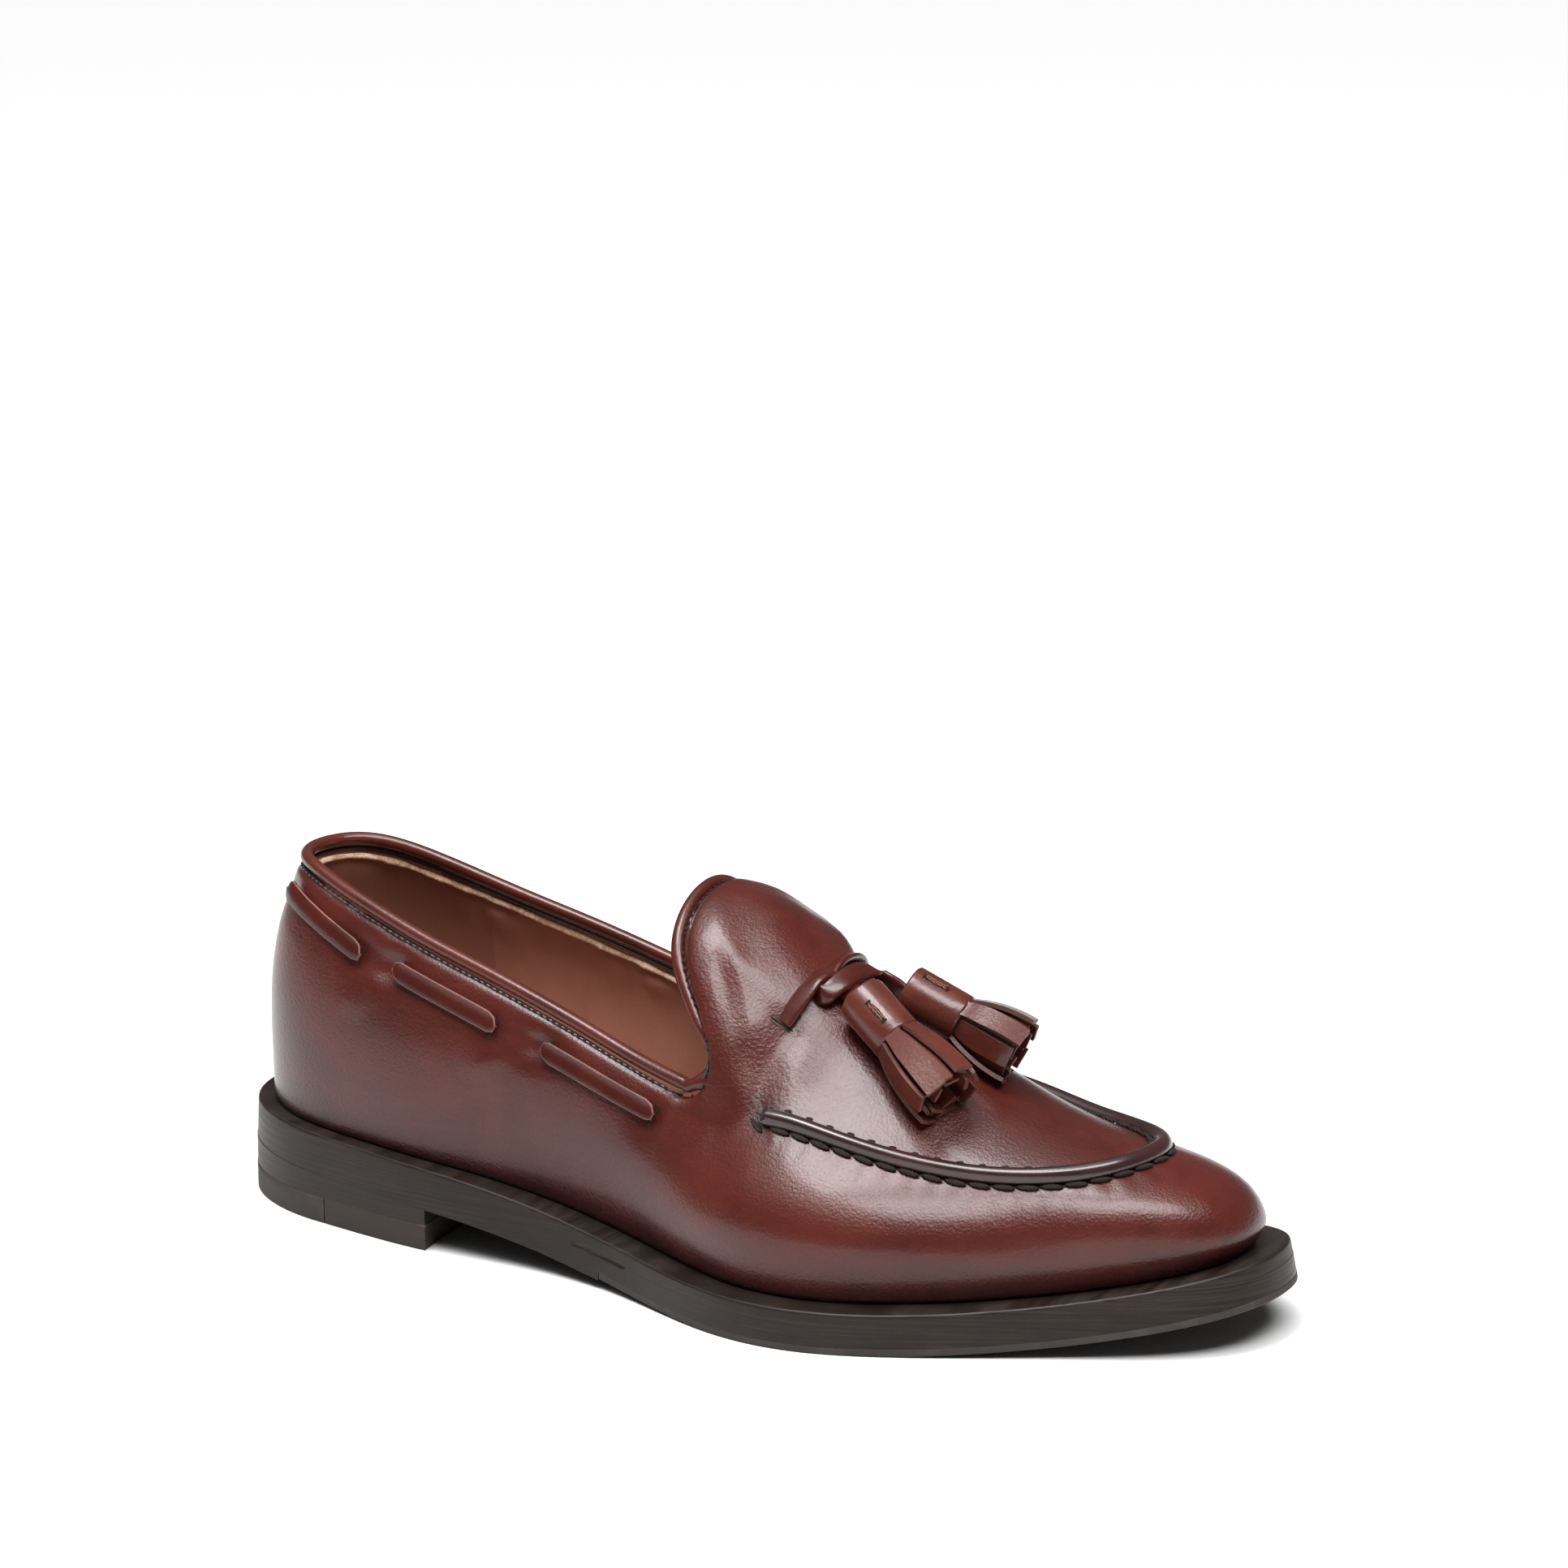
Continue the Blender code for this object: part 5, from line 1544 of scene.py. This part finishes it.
    def fringe(self, end: np.ndarray, run: np.ndarray, across: np.ndarray, off: np.ndarray,
               radius: float) -> bpy.types.Object:
        """Strips in layers, bent where they rest on the upper."""
        node = "tassel_fringe_" + self.side.word
        free = float(((corners_of(node) - end) @ run).max())
        bm = bmesh.new()
        for count, size, phase, shorter in self.layers:
            for k in range(count):
                turn = 2.0 * math.pi * (k + phase) / count
                away = across * math.cos(turn) + off * math.sin(turn)
                self.strip(bm, end, run, away, radius * size, count, k + phase,
                           free * (self.strip_reach - shorter), free)
        piece = finished("tassel_strips_" + self.side.word, bm, self.finishes.tassel,
                         self.finishes.strip_edge, sharp=35.0)
        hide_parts(node)
        return piece

    def strip(self, target: bmesh.types.BMesh, end: np.ndarray, run: np.ndarray, away: np.ndarray,
              radius: float, count: int, index: float, reach: float, free: float) -> None:
        """Add one bent strip of the fringe to a bmesh."""
        side = np.cross(run, away)
        root = 2.0 * math.pi * radius / count * self.strip_fill
        wander = math.sin(index * 2.7 + radius * 900.0)
        other = math.cos(index * 1.9 + radius * 700.0)
        reach = reach * (1.0 - self.strip_uneven + self.strip_uneven * wander)
        columns = self.strip_columns

        def place(col: int, row: int) -> np.ndarray:
            along = -self.strip_tuck + (reach + self.strip_tuck) * col / columns
            share = min(max(along, 0.0) / free, 1.0)
            bulge = self.flare * math.sin(share * math.pi * 0.60) ** 0.8 * radius / self.flare_radius
            out = radius + bulge + self.strip_spread * other * share
            width = root * (1.0 + self.strip_widening * min(share * 3.0, 1.0))
            across_share = row / 2.0 - 0.5
            sway = self.strip_sway * wander * share ** 1.3
            twist = self.strip_twist * other * across_share * share
            point = end + run * along + away * (out + twist) + side * (across_share * width + sway)
            return self.rested(point, along)

        bm = mapped_grid(columns, 2, place)
        bmesh.ops.recalc_face_normals(bm, faces=bm.faces)
        bmesh.ops.solidify(bm, geom=bm.faces[:], thickness=self.strip_thickness)
        bmesh.ops.recalc_face_normals(bm, faces=bm.faces)
        for face in bm.faces:
            face.material_index = int(abs(face.normal @ Vector(away)) < 0.5)
        scratch = mesh_of("strip", bm)
        target.from_mesh(scratch)
        bpy.data.meshes.remove(scratch)

    def rested(self, point: np.ndarray, along: float) -> np.ndarray:
        """Keep a point of a strip a little above the upper."""
        if along <= 0.0:
            return point
        spot, normal = self.upper.on_skin(point)
        height = float((point - spot) @ normal)
        low = self.rest_gap + self.strip_thickness
        return spot + normal * low if height < low else point


@dataclass
class Studio:
    """Camera, soft dome, lights and floor."""

    target: Triple = (-0.0010, 0.0056, 0.0450)
    azimuth: float = 29.56
    elevation: float = 18.01
    roll: float = -0.24
    distance: float = 1.59957
    lens: float = 139.75
    shift_x: float = (966.0 - 921.41) / 1932.0
    shift_y: float = (1343.46 - 966.0) / 1932.0
    dome_toward: Triple = (-0.20, -0.15, 0.97)
    dome_dim: float = 0.12
    dome_bright: float = 1.35
    dome_reach: tuple[float, float] = (0.71, 0.92)
    floor_light: float = 5.2
    floor_spread: float = 70.0
    floor_grey: float = 0.43
    floor_reach: float = 6.0

    def build(self) -> None:
        """Set everything up round the shoe."""
        bpy.context.scene.view_settings.view_transform = "Standard"
        self.camera()
        self.floor()
        self.dome()
        self.area("key", (-0.12, -0.32, 1.35), (0.03, 0.0, 0.05), (0.56, 0.56), 18.0)
        self.area("toe_strip", (0.60, -0.38, 1.20), (0.11, 0.0, 0.05), (1.00, 0.46), 19.0)
        self.backdrop_light()

    def dome(self) -> None:
        """Light the scene from a soft bright part of the sky, overhead."""
        world = bpy.data.worlds.new("studio")
        bpy.context.scene.world = world
        world.use_nodes = True
        nodes = Nodes(world.node_tree)
        toward = nodes.add("ShaderNodeVectorMath", operation="DOT_PRODUCT")
        nodes.put(toward.inputs[0], nodes.add("ShaderNodeTexCoord").outputs["Generated"])
        toward.inputs[1].default_value = Vector(self.dome_toward).normalized()
        strength = nodes.ramp(toward.outputs["Value"], *self.dome_reach, self.dome_dim,
                              self.dome_bright)
        background = world.node_tree.nodes["Background"]
        background.inputs["Color"].default_value = (1.0, 1.0, 1.0, 1.0)
        nodes.wire(strength, background.inputs["Strength"])

    def camera(self) -> None:
        """Stand the camera where the photograph's stood."""
        azimuth = math.radians(self.azimuth)
        elevation = math.radians(self.elevation)
        back = Vector((math.sin(azimuth) * math.cos(elevation),
                       -math.cos(azimuth) * math.cos(elevation), math.sin(elevation)))
        right = Vector((math.cos(azimuth), math.sin(azimuth), 0.0))
        up = back.cross(right)
        turn = math.radians(self.roll)
        right, up = (right * math.cos(turn) + up * math.sin(turn),
                     up * math.cos(turn) - right * math.sin(turn))
        data = bpy.data.cameras.new("photo_camera")
        data.lens = self.lens
        data.sensor_width = 36.0
        data.sensor_fit = "HORIZONTAL"
        data.shift_x = self.shift_x
        data.shift_y = self.shift_y
        data.clip_end = 20.0
        data.dof.use_dof = False
        camera = placed("photo_camera", data)
        turned = Matrix((right, up, back)).transposed().to_4x4()
        camera.matrix_world = Matrix.Translation(Vector(self.target) + back * self.distance) @ turned
        bpy.context.scene.camera = camera

    @staticmethod
    def area(name: str, place: Triple, aim: Triple,
             size: tuple[float, float], power: float) -> None:
        """Hang a soft light of a width and a height that looks at a point."""
        data = bpy.data.lights.new(name, "AREA")
        data.shape = "RECTANGLE"
        data.size, data.size_y = size
        data.energy = power
        light = placed(name, data)
        away = Vector(place) - Vector(aim)
        light.matrix_world = (Matrix.Translation(place)
                              @ away.to_track_quat("Z", "Y").to_matrix().to_4x4())

    def backdrop_light(self) -> None:
        """Wash the floor alone with soft light from above, so that it stays white far back."""
        data = bpy.data.lights.new("backdrop", "SUN")
        data.energy = self.floor_light
        data.angle = math.radians(self.floor_spread)
        light = placed("backdrop", data)
        lit = bpy.data.collections.new("backdrop_receivers")
        lit.objects.link(bpy.data.objects["studio_floor"])
        light.light_linking.receiver_collection = lit

    def floor(self) -> None:
        """Lay a plain floor that the lights turn white."""
        bm = bmesh.new()
        bmesh.ops.create_grid(bm, x_segments=2, y_segments=2, size=self.floor_reach)
        mesh = mesh_of("studio_floor", bm)
        material = bpy.data.materials.new("white_floor")
        material.use_nodes = True
        shader = material.node_tree.nodes["Principled BSDF"]
        shader.inputs["Base Color"].default_value = (*[self.floor_grey] * 3, 1.0)
        shader.inputs["Roughness"].default_value = 0.9
        shader.inputs["Specular IOR Level"].default_value = 0.1
        mesh.materials.append(material)
        floor = placed("studio_floor", mesh)


def main() -> None:
    """Dress the shoe and set up the studio."""
    logging.basicConfig(level=logging.INFO)
    Studio().build()
    finishes = Finishes()
    bars = LaceBars(finishes)
    upper = Upper(finishes)
    knot_slits = [np.array(Knot.lateral[0]), np.array(Knot.medial[0])]
    upper.build(bars.slits() + knot_slits)
    LOG.info("upper: seam %.0f mm, collar %.0f mm", upper.seam.length * 1e3, upper.collar.length * 1e3)
    ApronSeam(finishes, upper).build()
    Collar(finishes, upper).build()
    Bottom(finishes).build()
    bars.build(upper)
    tassels = {
        Side.LATERAL: Tassel(finishes, upper, Side.LATERAL, (0.14, -0.75, 0.63), 0.55).build(),
        Side.MEDIAL: Tassel(finishes, upper, Side.MEDIAL, (0.43, -0.25, 0.87), 0.38).build(),
    }
    Knot(finishes, upper).build(tassels)
    bpy.context.view_layer.update()
    for piece in bpy.data.objects:
        if piece.type == "MESH" and not piece.hide_render:
            LOG.info("%s %d faces", piece.name, len(piece.data.polygons))


if __name__ == "__main__":
    main()
